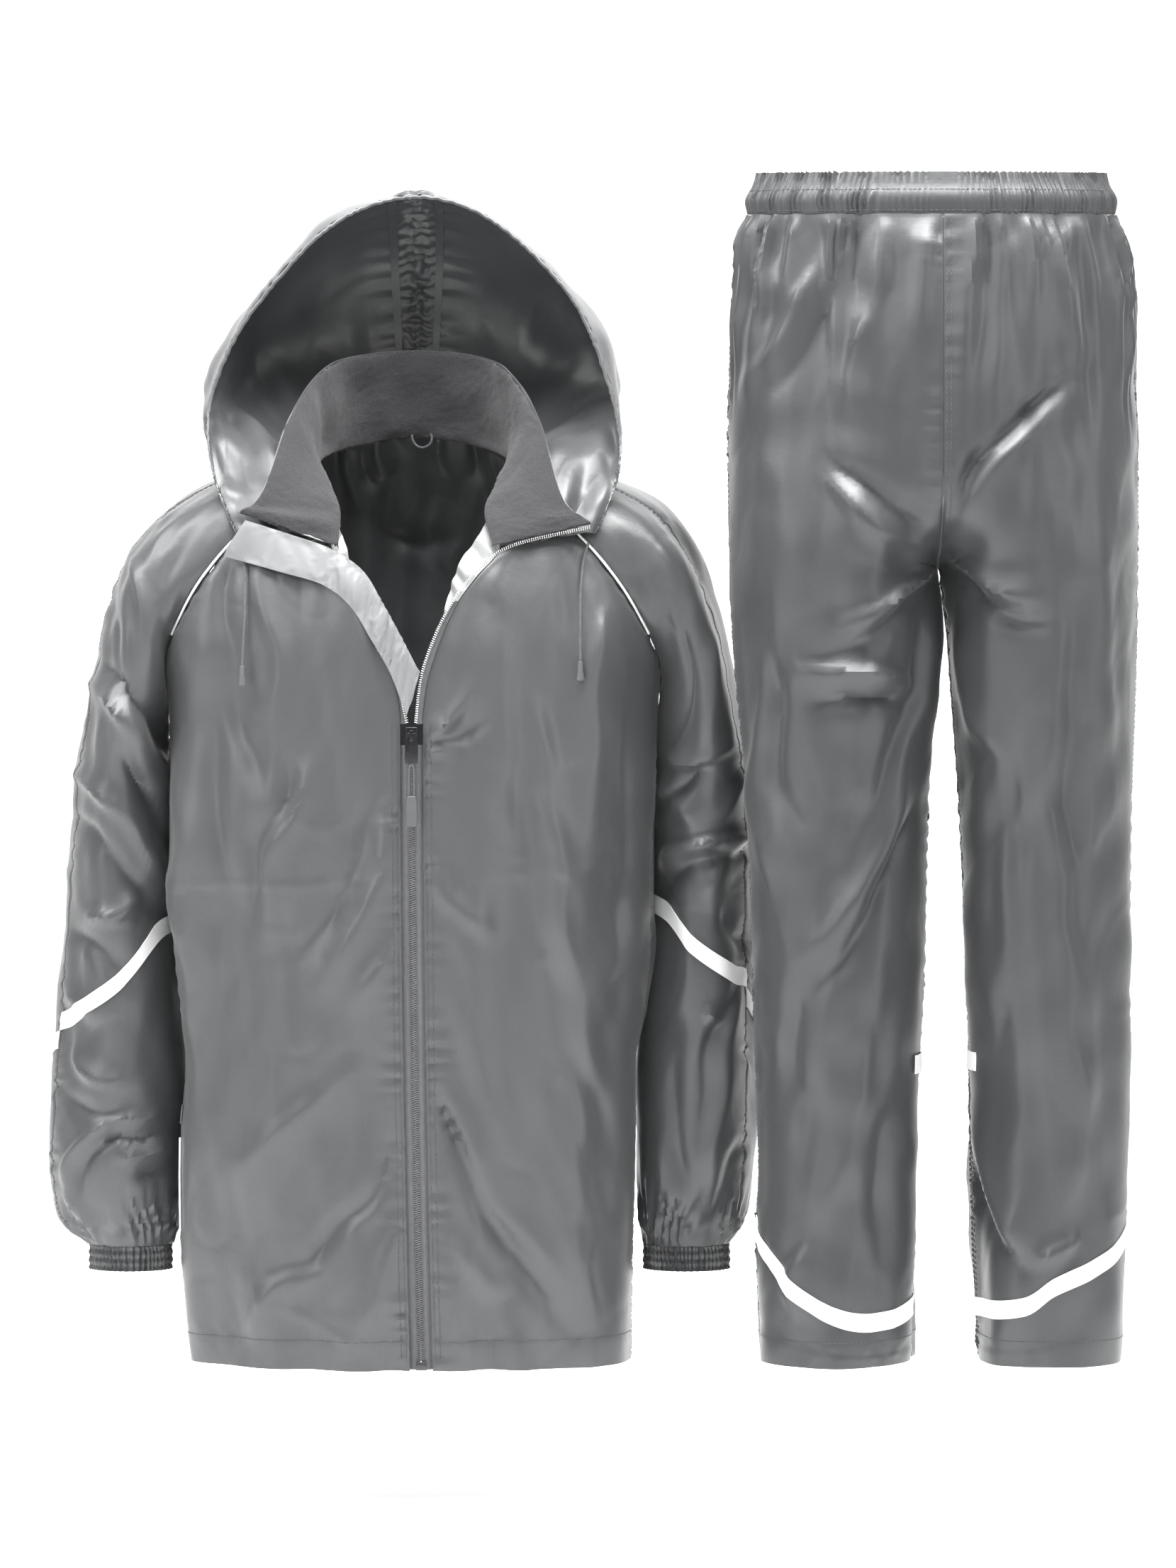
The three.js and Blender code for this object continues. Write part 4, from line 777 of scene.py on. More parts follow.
def volume_sign(vertices, faces):
    corners = vertices[faces]
    first = np.einsum("ij,ij->i", corners[:, 0], np.cross(corners[:, 1], corners[:, 2])).sum()
    second = np.einsum("ij,ij->i", corners[:, 0], np.cross(corners[:, 2], corners[:, 3])).sum()
    return 1 if first + second > 0 else -1


def shell(name, points, normals, thickness, material, closed=False):
    """A thin closed shell: an outer grid, an inner one a thickness behind it, and rims between them."""
    rows, columns = points.shape[:2]
    outer = points.reshape(-1, 3)
    inner = (points - normals * thickness).reshape(-1, 3)
    vertices = np.concatenate([outer, inner]) * MM
    size = rows * columns
    index = np.arange(size).reshape(rows, columns)
    left = index if closed else index[:, :-1]
    right = np.roll(index, -1, axis=1) if closed else index[:, 1:]
    a, b, c, d = left[:-1], right[:-1], right[1:], left[1:]
    faces = [np.stack([a, b, c, d], -1).reshape(-1, 4), np.stack([a, d, c, b], -1).reshape(-1, 4) + size]
    for low, high, turned in ((left[0], right[0], True), (left[-1], right[-1], False)):
        rim = np.stack([low, high, high + size, low + size], -1)
        faces.append(rim[:, ::-1] if turned else rim)
    if not closed:
        for column, turned in ((index[:, 0], False), (index[:, -1], True)):
            rim = np.stack([column[:-1], column[1:], column[1:] + size, column[:-1] + size], -1)
            faces.append(rim[:, ::-1] if turned else rim)
    faces = np.concatenate(faces)
    if volume_sign(vertices, faces) < 0:
        faces = faces[:, ::-1]
    return link_mesh(name, vertices, faces, material)


PANELS = {}


def settled(plain, edges):
    """A body panel with the turn at its armpit row rounded off, away from its seams."""
    reach = 10
    kernel = np.hanning(2 * reach + 1)
    kernel /= kernel.sum()
    padded = np.pad(plain, ((reach, reach), (0, 0), (0, 0)), mode="edge")
    blurred = sum(share * padded[k:k + len(plain)] for k, share in enumerate(kernel))
    side = np.minimum(edges["start"] * 3, edges["end"])
    weight = smooth(side / 36) * np.exp(-(((plain[..., 2] - ARMPIT_Z) / 64) ** 2))
    return lerp(plain, blurred, weight[..., None])


def panel(name, node, surface, us, vs, sign, relief, material, thickness=CLOTH, closed=False,
          has_armpit=False):
    """A cloth panel in place of one solid: its surface, its relief and the size that it is cut to."""
    u, v = np.meshgrid(us, vs)
    plain = surface(u, v)
    edges = edge_distances(plain)
    if has_armpit:
        plain = settled(plain, edges)
    height = relief(u, v, plain, edges)
    points = plain + grid_normals(plain, sign, closed) * height[..., None]
    if not closed:
        for edge, inner in ((0, 1), (-1, -2)):
            step = points[:, inner] - points[:, edge]
            points[:, edge] += step / np.linalg.norm(step, axis=1, keepdims=True) * SEAM_GAP / 2
            step = points[inner] - points[edge]
            points[edge] += step / np.linalg.norm(step, axis=1, keepdims=True) * SEAM_GAP / 2
    normals = grid_normals(points, sign, closed)
    piece = shell(name, points, normals, thickness, material, closed)
    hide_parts(node)
    PANELS[name] = (points, normals, edge_distances(points))


def tube(name, node, points, radius, material, body=SUIT):
    """A round tube through points in metres, as a smooth curve's mesh."""
    curve = bpy.data.curves.new(name, "CURVE")
    curve.dimensions = "3D"
    curve.bevel_depth = radius
    curve.bevel_resolution = 2
    curve.use_fill_caps = True
    spline = curve.splines.new("POLY")
    smooth_points = smooth_line(np.array(points, float), 8)
    spline.points.add(len(smooth_points) - 1)
    for place, point in zip(spline.points, smooth_points):
        place.co = (*point, 1.0)
    curve.materials.append(material)
    piece = bpy.data.objects.new(name, curve)
    bpy.context.scene.collection.objects.link(piece)
    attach(piece, body)
    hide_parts(node)
    return piece


def smooth_line(points, steps):
    """A Catmull-Rom line through points, with some steps between each two."""
    padded = np.concatenate([[2 * points[0] - points[1]], points, [2 * points[-1] - points[-2]]])
    line = []
    for index in range(1, len(padded) - 2):
        p0, p1, p2, p3 = padded[index - 1:index + 3]
        for t in np.arange(steps) / steps:
            line.append(0.5 * (2 * p1 + (p2 - p0) * t + (2 * p0 - 5 * p1 + 4 * p2 - p3) * t**2
                               + (3 * p1 - p0 - 3 * p2 + p3) * t**3))
    line.append(points[-1])
    return np.array(line)


# Surfaces, as the panels are cut
def sleeve_line(side, turn, row):
    at = row_at(SLEEVE[side], row)
    wrap = np.radians(np.minimum(at["wrap"], 180))
    reach = (np.cos(wrap * turn) - np.cos(wrap)) / (1 - np.cos(wrap))
    x = lerp((at["front_x"] + at["back_x"]) / 2, at["over_x"], reach)
    z = lerp((at["front_z"] + at["back_z"]) / 2, at["over_z"], reach)
    x = x + (at["back_x"] - at["front_x"]) / 2 * turn
    z = z + (at["back_z"] - at["front_z"]) / 2 * turn
    y = at["y"] + at["depth"] * np.sin(wrap * turn)
    return np.stack([SIDE[side] * x, y, z], -1)


def bend_share(place, start, begin, finish, end):
    rising = (place - start) / (begin - start)
    falling = (end - place) / (end - finish)
    return np.clip(np.minimum(rising, falling), 0, 1)


def sleeve_surface(side):
    stripe_end = STRIPE_ROW + 2 * STRIPE_ROWS

    def surface(turn, row):
        bend = bend_share(row, ARMPIT_ROW + 1, STRIPE_ROW, stripe_end, CUFF_ROW)
        return sleeve_line(side, turn, row + bend * row_at(STRIPE_DROP[side], turn)["rows"])
    return surface


def panel_depth(across, flat):
    rounded = (1 - across**ROUNDNESS) ** (1 / ROUNDNESS)
    return lerp(rounded, 1 - across**1.3, flat)


def zip_x(z):
    return ZIP_DRIFT * np.clip((ARMPIT_Z - z) / (ARMPIT_Z - HEM_Z), 0, 1) ** 2


def side_edge(side, turn, row):
    z = lerp(ARMPIT_Z, HEM_Z, -np.minimum(row, 0))
    body = row_at(BODY, z)
    below = np.stack([SIDE[side] * body[side], body["side"], z], -1)
    above = sleeve_line(side, turn, ARMPIT_ROW - np.maximum(row, 0))
    above[..., 0] -= SIDE[side] * ARMPIT_EASE * smooth(1 - row / 0.6)
    return np.where((row < 0)[..., None], below, above)


def front_surface(side):
    sign = SIDE[side]

    def surface(share, row):
        z = lerp(ARMPIT_Z, HEM_Z, -np.minimum(row, 0))
        edge = row_at(EDGE[side], np.maximum(row, 0))
        below = np.stack([zip_x(z) + sign * ZIP_HALF, row_at(BODY, z)["front"], z], -1)
        above = np.stack([sign * edge["x"], edge["y"], edge["z"]], -1)
        middle = np.where((row < 0)[..., None], below, above)
        outer = side_edge(side, np.full_like(row, -1), row)
        across = np.sin(math.pi / 2 * np.clip(share, 0, 1))
        depth = panel_depth(across, smooth(row / 4) * 0.6)
        return np.stack([lerp(middle[..., 0], outer[..., 0], across),
                         lerp(outer[..., 1], middle[..., 1], depth),
                         lerp(middle[..., 2], outer[..., 2], across)], -1)
    return surface


def back_surface(share, row):
    z = lerp(ARMPIT_Z, HEM_Z, -np.minimum(row, 0))
    spine = row_at(BACK_CENTRE, np.maximum(row, 0))
    middle_y = np.where(row < 0, row_at(BODY, z)["back"], spine["y"])
    middle_z = np.where(row < 0, z, spine["z"])
    ones = np.ones_like(row)
    outer = np.where((share < 0)[..., None], side_edge("left", ones, row), side_edge("right", ones, row))
    across = np.sin(math.pi / 2 * np.minimum(np.abs(share), 1))
    depth = panel_depth(across, smooth(row / 4) * 0.6)
    return np.stack([outer[..., 0] * across, lerp(outer[..., 1], middle_y, depth),
                     lerp(middle_z, outer[..., 2], across**1.6)], -1)


def hood_surface(place, depth):
    at = row_at(HOOD, place)
    t = depth[..., None]
    corner = {name: np.stack([at[f"{name}_{axis}"] for axis in "xyz"], -1)
              for name in ("rim", "shape", "full", "neck")}
    return ((1 - t) ** 3 * corner["rim"] + 3 * (1 - t) ** 2 * t * corner["shape"]
            + 3 * (1 - t) * t**2 * corner["full"] + t**3 * corner["neck"])


def strip_surface(source, first, second):
    def surface(place, across):
        at = row_at(source, place)
        return np.stack([lerp(at[f"{first}_{axis}"], at[f"{second}_{axis}"], across) for axis in "xyz"], -1)
    return surface


def facing_surface(side):
    def surface(row, across):
        edge = row_at(EDGE[side], row)
        reach = row_at(FACING[side], row)
        return np.stack([SIDE[side] * (edge["x"] - FACING_SHIFT + reach["in_x"] * across),
                         edge["y"] + reach["in_y"] * across, edge["z"] + reach["in_z"] * across], -1)
    return surface


def leg_surface(side, face):
    sign = SIDE[side]
    away = -1 if face == "front" else 1
    stripe = LEG_STRIPE[face]

    def surface(share, row):
        bend = bend_share(-row, -stripe["reach"][0], -stripe["z"] - STRIPE_WIDTH / 2,
                          -stripe["z"] + STRIPE_WIDTH / 2, -stripe["reach"][1])
        z = row + bend * row_at(stripe[side], share)["rise"]
        at = row_at(LEGS, z)
        split = smooth((RISE_START_Z - z) / (RISE_START_Z - CROTCH_Z))
        middle = (split * at[side] + at[f"{side}_in"]) / 2
        half = at[side] - middle
        angle = share * np.arccos(np.clip(-middle / half, -1, 1))
        return np.stack([TROUSERS_X + sign * (middle + half * np.cos(angle)),
                         TROUSERS_Y + away * at[face] * np.sin(angle), z], -1)
    return surface


# Materials
def new_material(name):
    material = bpy.data.materials.new(name)
    material.use_nodes = True
    tree = material.node_tree
    shader = next(node for node in tree.nodes if node.type == "BSDF_PRINCIPLED")
    return material, tree, shader


def noise_node(tree, scale, detail, coordinates):
    noise = tree.nodes.new("ShaderNodeTexNoise")
    noise.inputs["Scale"].default_value = scale
    noise.inputs["Detail"].default_value = detail
    tree.links.new(coordinates, noise.inputs["Vector"])
    return noise.outputs["Fac"]


def ramp_node(tree, source, low, high):
    ramp = tree.nodes.new("ShaderNodeMapRange")
    ramp.inputs["To Min"].default_value = low
    ramp.inputs["To Max"].default_value = high
    tree.links.new(source, ramp.inputs["Value"])
    return ramp.outputs["Result"]


def add_bumps(tree, shader, bumps):
    """Bumps in a chain, each from a height output, with its strength and depth in metres."""
    normal = None
    for height, strength, depth in bumps:
        bump = tree.nodes.new("ShaderNodeBump")
        bump.inputs["Strength"].default_value = strength
        bump.inputs["Distance"].default_value = depth
        tree.links.new(height, bump.inputs["Height"])
        if normal:
            tree.links.new(normal, bump.inputs["Normal"])
        normal = bump.outputs["Normal"]
    tree.links.new(normal, shader.inputs["Normal"])


def tint(tree, shader, source, dark, light):
    mix = tree.nodes.new("ShaderNodeMix")
    mix.data_type = "RGBA"
    mix.inputs["A"].default_value = (*dark, 1)
    mix.inputs["B"].default_value = (*light, 1)
    tree.links.new(source, mix.inputs["Factor"])
    tree.links.new(mix.outputs["Result"], shader.inputs["Base Color"])


def weave_height(tree, coordinates, threads):
    """Plain weave: two sets of thread waves, one across the other."""
    heights = []
    for direction in ("X", "Z"):
        wave = tree.nodes.new("ShaderNodeTexWave")
        wave.bands_direction = direction
        wave.inputs["Scale"].default_value = threads
        wave.inputs["Distortion"].default_value = 0.6
        tree.links.new(coordinates, wave.inputs["Vector"])
        heights.append(wave.outputs["Fac"])
    both = tree.nodes.new("ShaderNodeMath")
    both.operation = "MULTIPLY"
    tree.links.new(heights[0], both.inputs[0])
    tree.links.new(heights[1], both.inputs[1])
    return both.outputs["Value"]


def coated_cloth(name, dark, light, rough_low, rough_high):
    """Coated taffeta: a fine weave under a soft gloss, with small creases from packing."""
    material, tree, shader = new_material(name)
    coordinates = tree.nodes.new("ShaderNodeTexCoord").outputs["Object"]
    grain = tree.nodes.new("ShaderNodeMath")
    grain.operation = "MULTIPLY_ADD"
    grain.inputs[1].default_value = 0.6
    tree.links.new(noise_node(tree, 1300, 2, coordinates), grain.inputs[0])
    tree.links.new(ramp_node(tree, noise_node(tree, 9, 4, coordinates), 0.0, 0.4), grain.inputs[2])
    tint(tree, shader, grain.outputs["Value"], dark, light)
    rough = ramp_node(tree, noise_node(tree, 34, 3, coordinates), rough_low, rough_high)
    tree.links.new(rough, shader.inputs["Roughness"])
    shader.inputs["Specular IOR Level"].default_value = 0.55
    shader.inputs["Sheen Weight"].default_value = 0.12
    shader.inputs["Sheen Roughness"].default_value = 0.4
    add_bumps(tree, shader, [
        (noise_node(tree, 60, 5, coordinates), CRINKLE, 0.0014),
        (noise_node(tree, 210, 3, coordinates), CRINKLE * 0.6, 0.0006),
        (weave_height(tree, coordinates, 420), 0.18, 0.0002),
    ])
    return material


def fleece_cloth():
    material, tree, shader = new_material("fleece pile")
    coordinates = tree.nodes.new("ShaderNodeTexCoord").outputs["Object"]
    pile = noise_node(tree, 900, 6, coordinates)
    tint(tree, shader, pile, (0.014, 0.014, 0.0155), (0.055, 0.055, 0.058))
    shader.inputs["Roughness"].default_value = 0.95
    shader.inputs["Specular IOR Level"].default_value = 0.15
    shader.inputs["Sheen Weight"].default_value = 0.12
    shader.inputs["Sheen Roughness"].default_value = 0.6
    add_bumps(tree, shader, [
        (noise_node(tree, 330, 4, coordinates), 0.4, 0.0008),
        (pile, 0.9, 0.0007),
    ])
    return material


def reflective_tape():
    material, tree, shader = new_material("reflective tape")
    coordinates = tree.nodes.new("ShaderNodeTexCoord").outputs["Object"]
    tint(tree, shader, noise_node(tree, 26, 3, coordinates), (0.78, 0.78, 0.78), (0.93, 0.93, 0.93))
    shader.inputs["Roughness"].default_value = 0.42
    shader.inputs["Specular IOR Level"].default_value = 0.6
    beads = tree.nodes.new("ShaderNodeTexVoronoi")
    beads.inputs["Scale"].default_value = 1400
    tree.links.new(coordinates, beads.inputs["Vector"])
    add_bumps(tree, shader, [
        (noise_node(tree, 80, 3, coordinates), 0.4, 0.001),
        (beads.outputs["Distance"], 0.35, 0.0002),
    ])
    return material


def woven_trim(name, dark, light, threads, roughness):
    """Braid and tape: close threads, matt."""
    material, tree, shader = new_material(name)
    coordinates = tree.nodes.new("ShaderNodeTexCoord").outputs["Object"]
    tint(tree, shader, noise_node(tree, 240, 3, coordinates), dark, light)
    shader.inputs["Roughness"].default_value = roughness
    add_bumps(tree, shader, [
        (weave_height(tree, coordinates, threads), 0.7, 0.0005),
        (noise_node(tree, 500, 3, coordinates), 0.4, 0.0003),
    ])
    return material


def hard_trim(name, dark, light, metallic, roughness, grain):
    """Metal and moulded parts: a fine grain, and small marks of wear."""
    material, tree, shader = new_material(name)
    coordinates = tree.nodes.new("ShaderNodeTexCoord").outputs["Object"]
    tint(tree, shader, noise_node(tree, 180, 4, coordinates), dark, light)
    shader.inputs["Metallic"].default_value = metallic
    rough = ramp_node(tree, noise_node(tree, 300, 4, coordinates), roughness * 0.7, roughness * 1.3)
    tree.links.new(rough, shader.inputs["Roughness"])
    add_bumps(tree, shader, [(noise_node(tree, 900, 3, coordinates), grain, 0.0002)])
    return material


def make_materials():
    return {
        "jacket": coated_cloth("jacket cloth", *CLOTH_COLOUR["jacket"], 0.32, 0.42),
        "trouser": coated_cloth("trouser cloth", *CLOTH_COLOUR["trouser"], 0.34, 0.44),
        "silver": coated_cloth("silver cloth", *CLOTH_COLOUR["silver"], 0.30, 0.40),
        "fleece": fleece_cloth(),
        "reflective": reflective_tape(),
        "tape": woven_trim("zip tape", (0.10, 0.102, 0.106), (0.145, 0.148, 0.152), 900, 0.7),
        "cord": woven_trim("cord braid", (0.055, 0.057, 0.06), (0.13, 0.133, 0.137), 700, 0.7),
        "thread": woven_trim("sewing thread", (0.07, 0.072, 0.075), (0.14, 0.143, 0.147), 2400, 0.6),
        "teeth": hard_trim("zip teeth", (0.07, 0.07, 0.074), (0.16, 0.16, 0.165), 0.2, 0.35, 0.2),
        "metal": hard_trim("gunmetal", (0.035, 0.035, 0.038), (0.10, 0.10, 0.105), 1.0, 0.24, 0.1),
        "bright_metal": hard_trim("bright teeth", (0.5, 0.5, 0.5), (0.8, 0.8, 0.8), 1.0, 0.25, 0.2),
        "grip": hard_trim("moulded grip", (0.065, 0.067, 0.07), (0.10, 0.102, 0.105), 0.0, 0.45, 0.4),
    }


# Relief of each kind of panel
def base_relief(x, z, seed):
    """What every stretch of the cloth has: long soft swells down it, smaller ones, and fine creases."""
    height = np.zeros_like(x)
    for high, size, stretch, step in SWELLS:
        height += high * waves(x, z / stretch, seed + step, size)
    for high, size, stretch, step in CREASES:
        height += crumple(x, z / stretch, seed + step, size, high)
    return height


def seam_groove(distance):
    return -SEAM_GROOVE * np.exp(-((distance / 1.3) ** 2))


def packing_crease(x, z):
    line = z - PACKING_CREASE_Z - 0.05 * x - 3 * waves(x, z * 0, 5, 160)
    return 1.3 * np.exp(-np.abs(line) / 2.2) * smooth(0.62 + 0.4 * waves(x, z * 0, 6, 120))


def body_rows():
    """Rows of the fronts and the back, with close ones only at the hem and the neck."""
    low = places(-1, 0, ARMPIT_Z - HEM_Z, GRID)[:-3]
    high = places(0, TOP_ROW, RAGLAN_LONG, GRID)
    return np.concatenate([low, high[:1], high[3:]])


def make_body(materials):
    rows = body_rows()
    for side in ("left", "right"):
        sign = SIDE[side]

        def relief(share, row, plain, edges, side=side, sign=sign):
            x, z = plain[..., 0], plain[..., 2]
            folds = fold_height(JACKET_FRONT_FOLDS, x, z, 11) + base_relief(x, z, 100 + sign)
            fade = smooth(edges["end"] / SEAM_FADE) * smooth(edges["start"] / 16) * smooth((5.7 - row) / 2)
            height = FOLD_STRENGTH * folds * fade + packing_crease(x, z)
            height += pucker(edges["start"], z, 31 + sign, *PUCKER["front edge"]) * smooth(-row * 8)
            height += pucker(edges["end"], z, 35 + sign, *PUCKER["body seam"])
            height += pucker(edges["bottom"] - HEM_STITCH, x, 39 + sign, *PUCKER["hem"])
            height += HEM_LAYER * smooth((HEM_STITCH - edges["bottom"]) / 2)
            return height + seam_groove(edges["end"]) + seam_groove(edges["start"]) * 0.5

        us = places(0, 1, FRONT_WIDE, GRID)
        panel(f"front_{side}_shell", f"jacket_front_{side}", front_surface(side), us, rows, sign, relief,
              materials["jacket"], has_armpit=True)

    def back_relief(share, row, plain, edges):
        x, z = plain[..., 0], plain[..., 2]
        folds = fold_height(JACKET_BACK_FOLDS, x, z, 13) + base_relief(x, z, 140)
        side = np.minimum(edges["start"], edges["end"])
        height = FOLD_STRENGTH * folds * smooth(side / SEAM_FADE) * smooth((TOP_ROW - row) / 0.4)
        height += pucker(side, z, 45, *PUCKER["body seam"]) + packing_crease(x, z)
        height += pucker(edges["bottom"] - HEM_STITCH, x, 47, *PUCKER["hem"])
        return height + HEM_LAYER * smooth((HEM_STITCH - edges["bottom"]) / 2) + seam_groove(side)

    panel("back_shell", "jacket_back", back_surface, places(-1, 1, BACK_WIDE, GRID * 1.15), rows, -1,
          back_relief, materials["jacket"], has_armpit=True)


def sleeve_relief(side):
    def relief(turn, row, plain, edges):
        x, z = plain[..., 0], plain[..., 2]
        facing = smooth((0.12 - turn) / 0.24)
        folds = facing * fold_height(SLEEVE_FRONT_FOLDS[side], x, z, 17)
        folds += (1 - facing) * fold_height(SLEEVE_BACK_FOLDS[side], x, z, 19)
        around = SLEEVE_HALF_ROUND * turn
        down = SLEEVE_ROW_DROP * row
        folds += base_relief(around, down, 160 + SIDE[side])
        seam = np.minimum(1 - np.abs(turn), 1) * SEAM_HALF_ROUND
        fade = smooth(seam / SEAM_FADE) * smooth((row - 1.4) / 2.4) * smooth((CUFF_ROW - row) / 0.7)
        height = SLEEVE_STRENGTH * folds * fade
        gathers = np.cos(2 * math.pi * (SLEEVE_GATHERS * turn + 0.5 * waves(around, down, 61, 70)))
        height += 2.4 * gathers * smooth((row - 13.7) / 1.1) * smooth((CUFF_ROW + 0.15 - row) / 0.5)
        over_arm = np.abs(turn - OVER_ARM[side]) * SEAM_HALF_ROUND
        height += pucker(over_arm, down, 65, *PUCKER["over arm"])
        height += pucker(seam, down, 67, *PUCKER["under arm"])
        return height + seam_groove(over_arm) + seam_groove(seam)
    return relief


def square(surface, u, v, sign):
    """Out directions square to a surface."""
    step = 1e-3
    across = surface(u + step, v) - surface(u - step, v)
    up = surface(u, v + step) - surface(u, v - step)
    normal = np.cross(across, up)
    return sign * normal / np.maximum(np.linalg.norm(normal, axis=-1, keepdims=True), 1e-12)


def raised(surface, sign, distance):
    """A surface that lies a distance outside another."""
    return lambda u, v: surface(u, v) + square(surface, u, v, sign) * distance


def make_sleeves(materials):
    stripe_edges = [STRIPE_ROW, STRIPE_ROW + STRIPE_ROWS, STRIPE_ROW + 2 * STRIPE_ROWS]
    for side in ("left", "right"):
        sign = -SIDE[side]
        surface = sleeve_surface(side)
        relief = sleeve_relief(side)
        rows = places(0, CUFF_ROW, SLEEVE_LONG, GRID, stripe_edges)
        spans = {"front": (-1, OVER_ARM[side]), "back": (OVER_ARM[side], 1)}
        for face, (start, end) in spans.items():
            us = places(start, end, SLEEVE_WIDE[face], GRID)
            panel(f"sleeve_{side}_{face}_shell", f"sleeve_{side}_{face}", surface, us, rows, sign, relief,
                  materials["jacket"])
            first = 0 if face == "front" else 1
            vs = places(stripe_edges[first], stripe_edges[first + 1], STRIPE_WIDTH, STRIPE_GRID)
            panel(f"sleeve_tape_{side}_{face}", f"sleeve_stripe_{side}_{face}",
                  raised(surface, sign, LIFT + TRIM), us, vs, sign, relief, materials["reflective"],
                  TRIM)


def make_cuffs(materials):
    for side in ("left", "right"):
        cuff = CUFF[side]

        def ring(turn, drop, cuff=cuff, side=side):
            angle = 2 * math.pi * turn
            return np.stack([SIDE[side] * cuff["x"] + cuff["half"] * np.cos(angle),
                             cuff["y"] - cuff["depth"] * np.sin(angle), cuff["z"] - drop], -1)

        def relief(turn, drop, plain, edges):
            ribs = np.cos(2 * math.pi * (CUFF_RIBS * turn + 0.3 * waves(220 * turn, drop, 71, 40)))
            rows = np.cos(2 * math.pi * drop / (CUFF_HEIGHT / 3))
            return 1.1 * ribs + 0.5 * rows - 0.5 * np.exp(-drop / 2.0)

        turns = np.linspace(0, 1, CUFF_RIBS * 5 + 1)[:-1]
        panel(f"cuff_{side}_shell", f"cuff_{side}", ring, turns, np.linspace(0, CUFF_HEIGHT, 16), 1, relief,
              materials["jacket"], closed=True)


def hood_relief(place, depth, plain, edges):
    along = HOOD_SIDE_LONG * place
    inward = HOOD_DEEP * depth
    seam = np.maximum(np.abs(place) - HOOD_STRIP, 0) * HOOD_SIDE_LONG
    edge_fade = smooth(seam / 20) * smooth(depth / 0.12) * smooth((1 - depth) / 0.15)
    height = edge_fade * (base_relief(along, inward, 180) + 2.2 * waves(along / 1.6, inward, 181, 70))
    height += pucker(seam, inward, 75, *PUCKER["hood seam"]) * smooth((1.02 - depth) / 0.3)
    height += pucker(inward - 4, along, 77, *PUCKER["hood rim"])
    return height + seam_groove(seam)


def make_hood(materials):
    depths = places(HOOD_HEM, 1, HOOD_DEEP, GRID)
    sides = {"left": (-1, -HOOD_STRIP), "right": (HOOD_STRIP, 1)}
    for side, (start, end) in sides.items():
        panel(f"hood_{side}_shell", f"hood_{side}", hood_surface, places(start, end, HOOD_SIDE_LONG, GRID),
              depths, 1, hood_relief, materials["jacket"])

    def gather_relief(place, depth, plain, edges):
        inward = HOOD_DEEP * depth
        ruche = np.sin(2 * math.pi * inward / 8.5 + 1.6 * waves(inward, place * 900, 79, 30))
        strong = 0.5 + 0.5 * smooth((0.75 - depth) / 0.3)
        across = 1 - (place / HOOD_STRIP) ** 2
        seam = np.minimum(edges["start"], edges["end"])
        return (1.9 * ruche * strong + 0.8) * across - np.exp(-((place / 0.006) ** 2)) + seam_groove(seam)

    panel("hood_ruching", "hood_gather", hood_surface,
          places(-HOOD_STRIP, HOOD_STRIP, HOOD_STRIP_WIDE, RUCHE_GRID),
          places(HOOD_HEM, 1, HOOD_STRIP_LONG, RUCHE_GRID), 1, gather_relief, materials["jacket"])

    def rim_relief(place, depth, plain, edges):
        along = HOOD_SIDE_LONG * place
        return 0.5 * np.sin(2 * math.pi * along / 8 + 2 * waves(along, depth * 200, 81, 26)) + 0.3

    panel("hood_rim_shell", "hood_rim", hood_surface, places(-1, 1, 2 * HOOD_SIDE_LONG, RIM_GRID),
          np.linspace(0, HOOD_HEM - 0.002, 5), 1, rim_relief, materials["jacket"], 1.8)


def make_seam_tapes(materials):
    """Sealing tapes over the two inner seams of the hood, from the rim to the neck."""
    for side, middle in (("left", -HOOD_STRIP), ("right", HOOD_STRIP)):
        us = np.linspace(middle - SEAM_TAPE / 2, middle + SEAM_TAPE / 2, 5)
        u, v = np.meshgrid(us, places(HOOD_HEM, 0.995, HOOD_DEEP, 3.0))
        inner = raised(hood_surface, -1, CLOTH + SEAM_GROOVE + 0.35)
        points = inner(u, v)
        shell(f"hood_seam_tape_{side}", points, grid_normals(points, 1), 0.3, materials["jacket"])


def make_collar(materials):
    surface = strip_surface(COLLAR, "seam", "top")

    def shell_relief(place, height, plain, edges):
        small = waves(COLLAR_ROUND * place, COLLAR_HIGH * height, 83, 40)
        return 0.6 * small * smooth(edges["bottom"] / 12)

    places_across = places(-1, 1, COLLAR_LONG, GRID)
    panel("collar_shell_cloth", "collar_shell", surface, places_across, places(0, 1, COLLAR_HIGH, GRID), 1,
          shell_relief, materials["jacket"])

    def fleece_relief(place, height, plain, edges):
        along = COLLAR_ROUND * place
        up = COLLAR_HIGH * height
        pile = np.random.default_rng(85).normal(0, 0.2, along.shape) + 0.12 * waves(along, up, 86, 9, 24)
        soft = 0.8 * waves(along, up, 87, 44) * smooth(edges["bottom"] / 10)
        edge = np.minimum.reduce([edges[name] for name in ("start", "end", "bottom", "top")])
        return pile + soft - 1.2 * np.exp(-edge / 1.6)

    lining = raised(surface, 1, FLEECE + LINING_GAP)
    panel("collar_fleece_pile", "collar_fleece", lining, places(-1, 1, COLLAR_LONG, FINE_GRID),
          places(-0.09, 0.985, COLLAR_HIGH + 2, FINE_GRID), 1, fleece_relief, materials["fleece"],
          FLEECE)


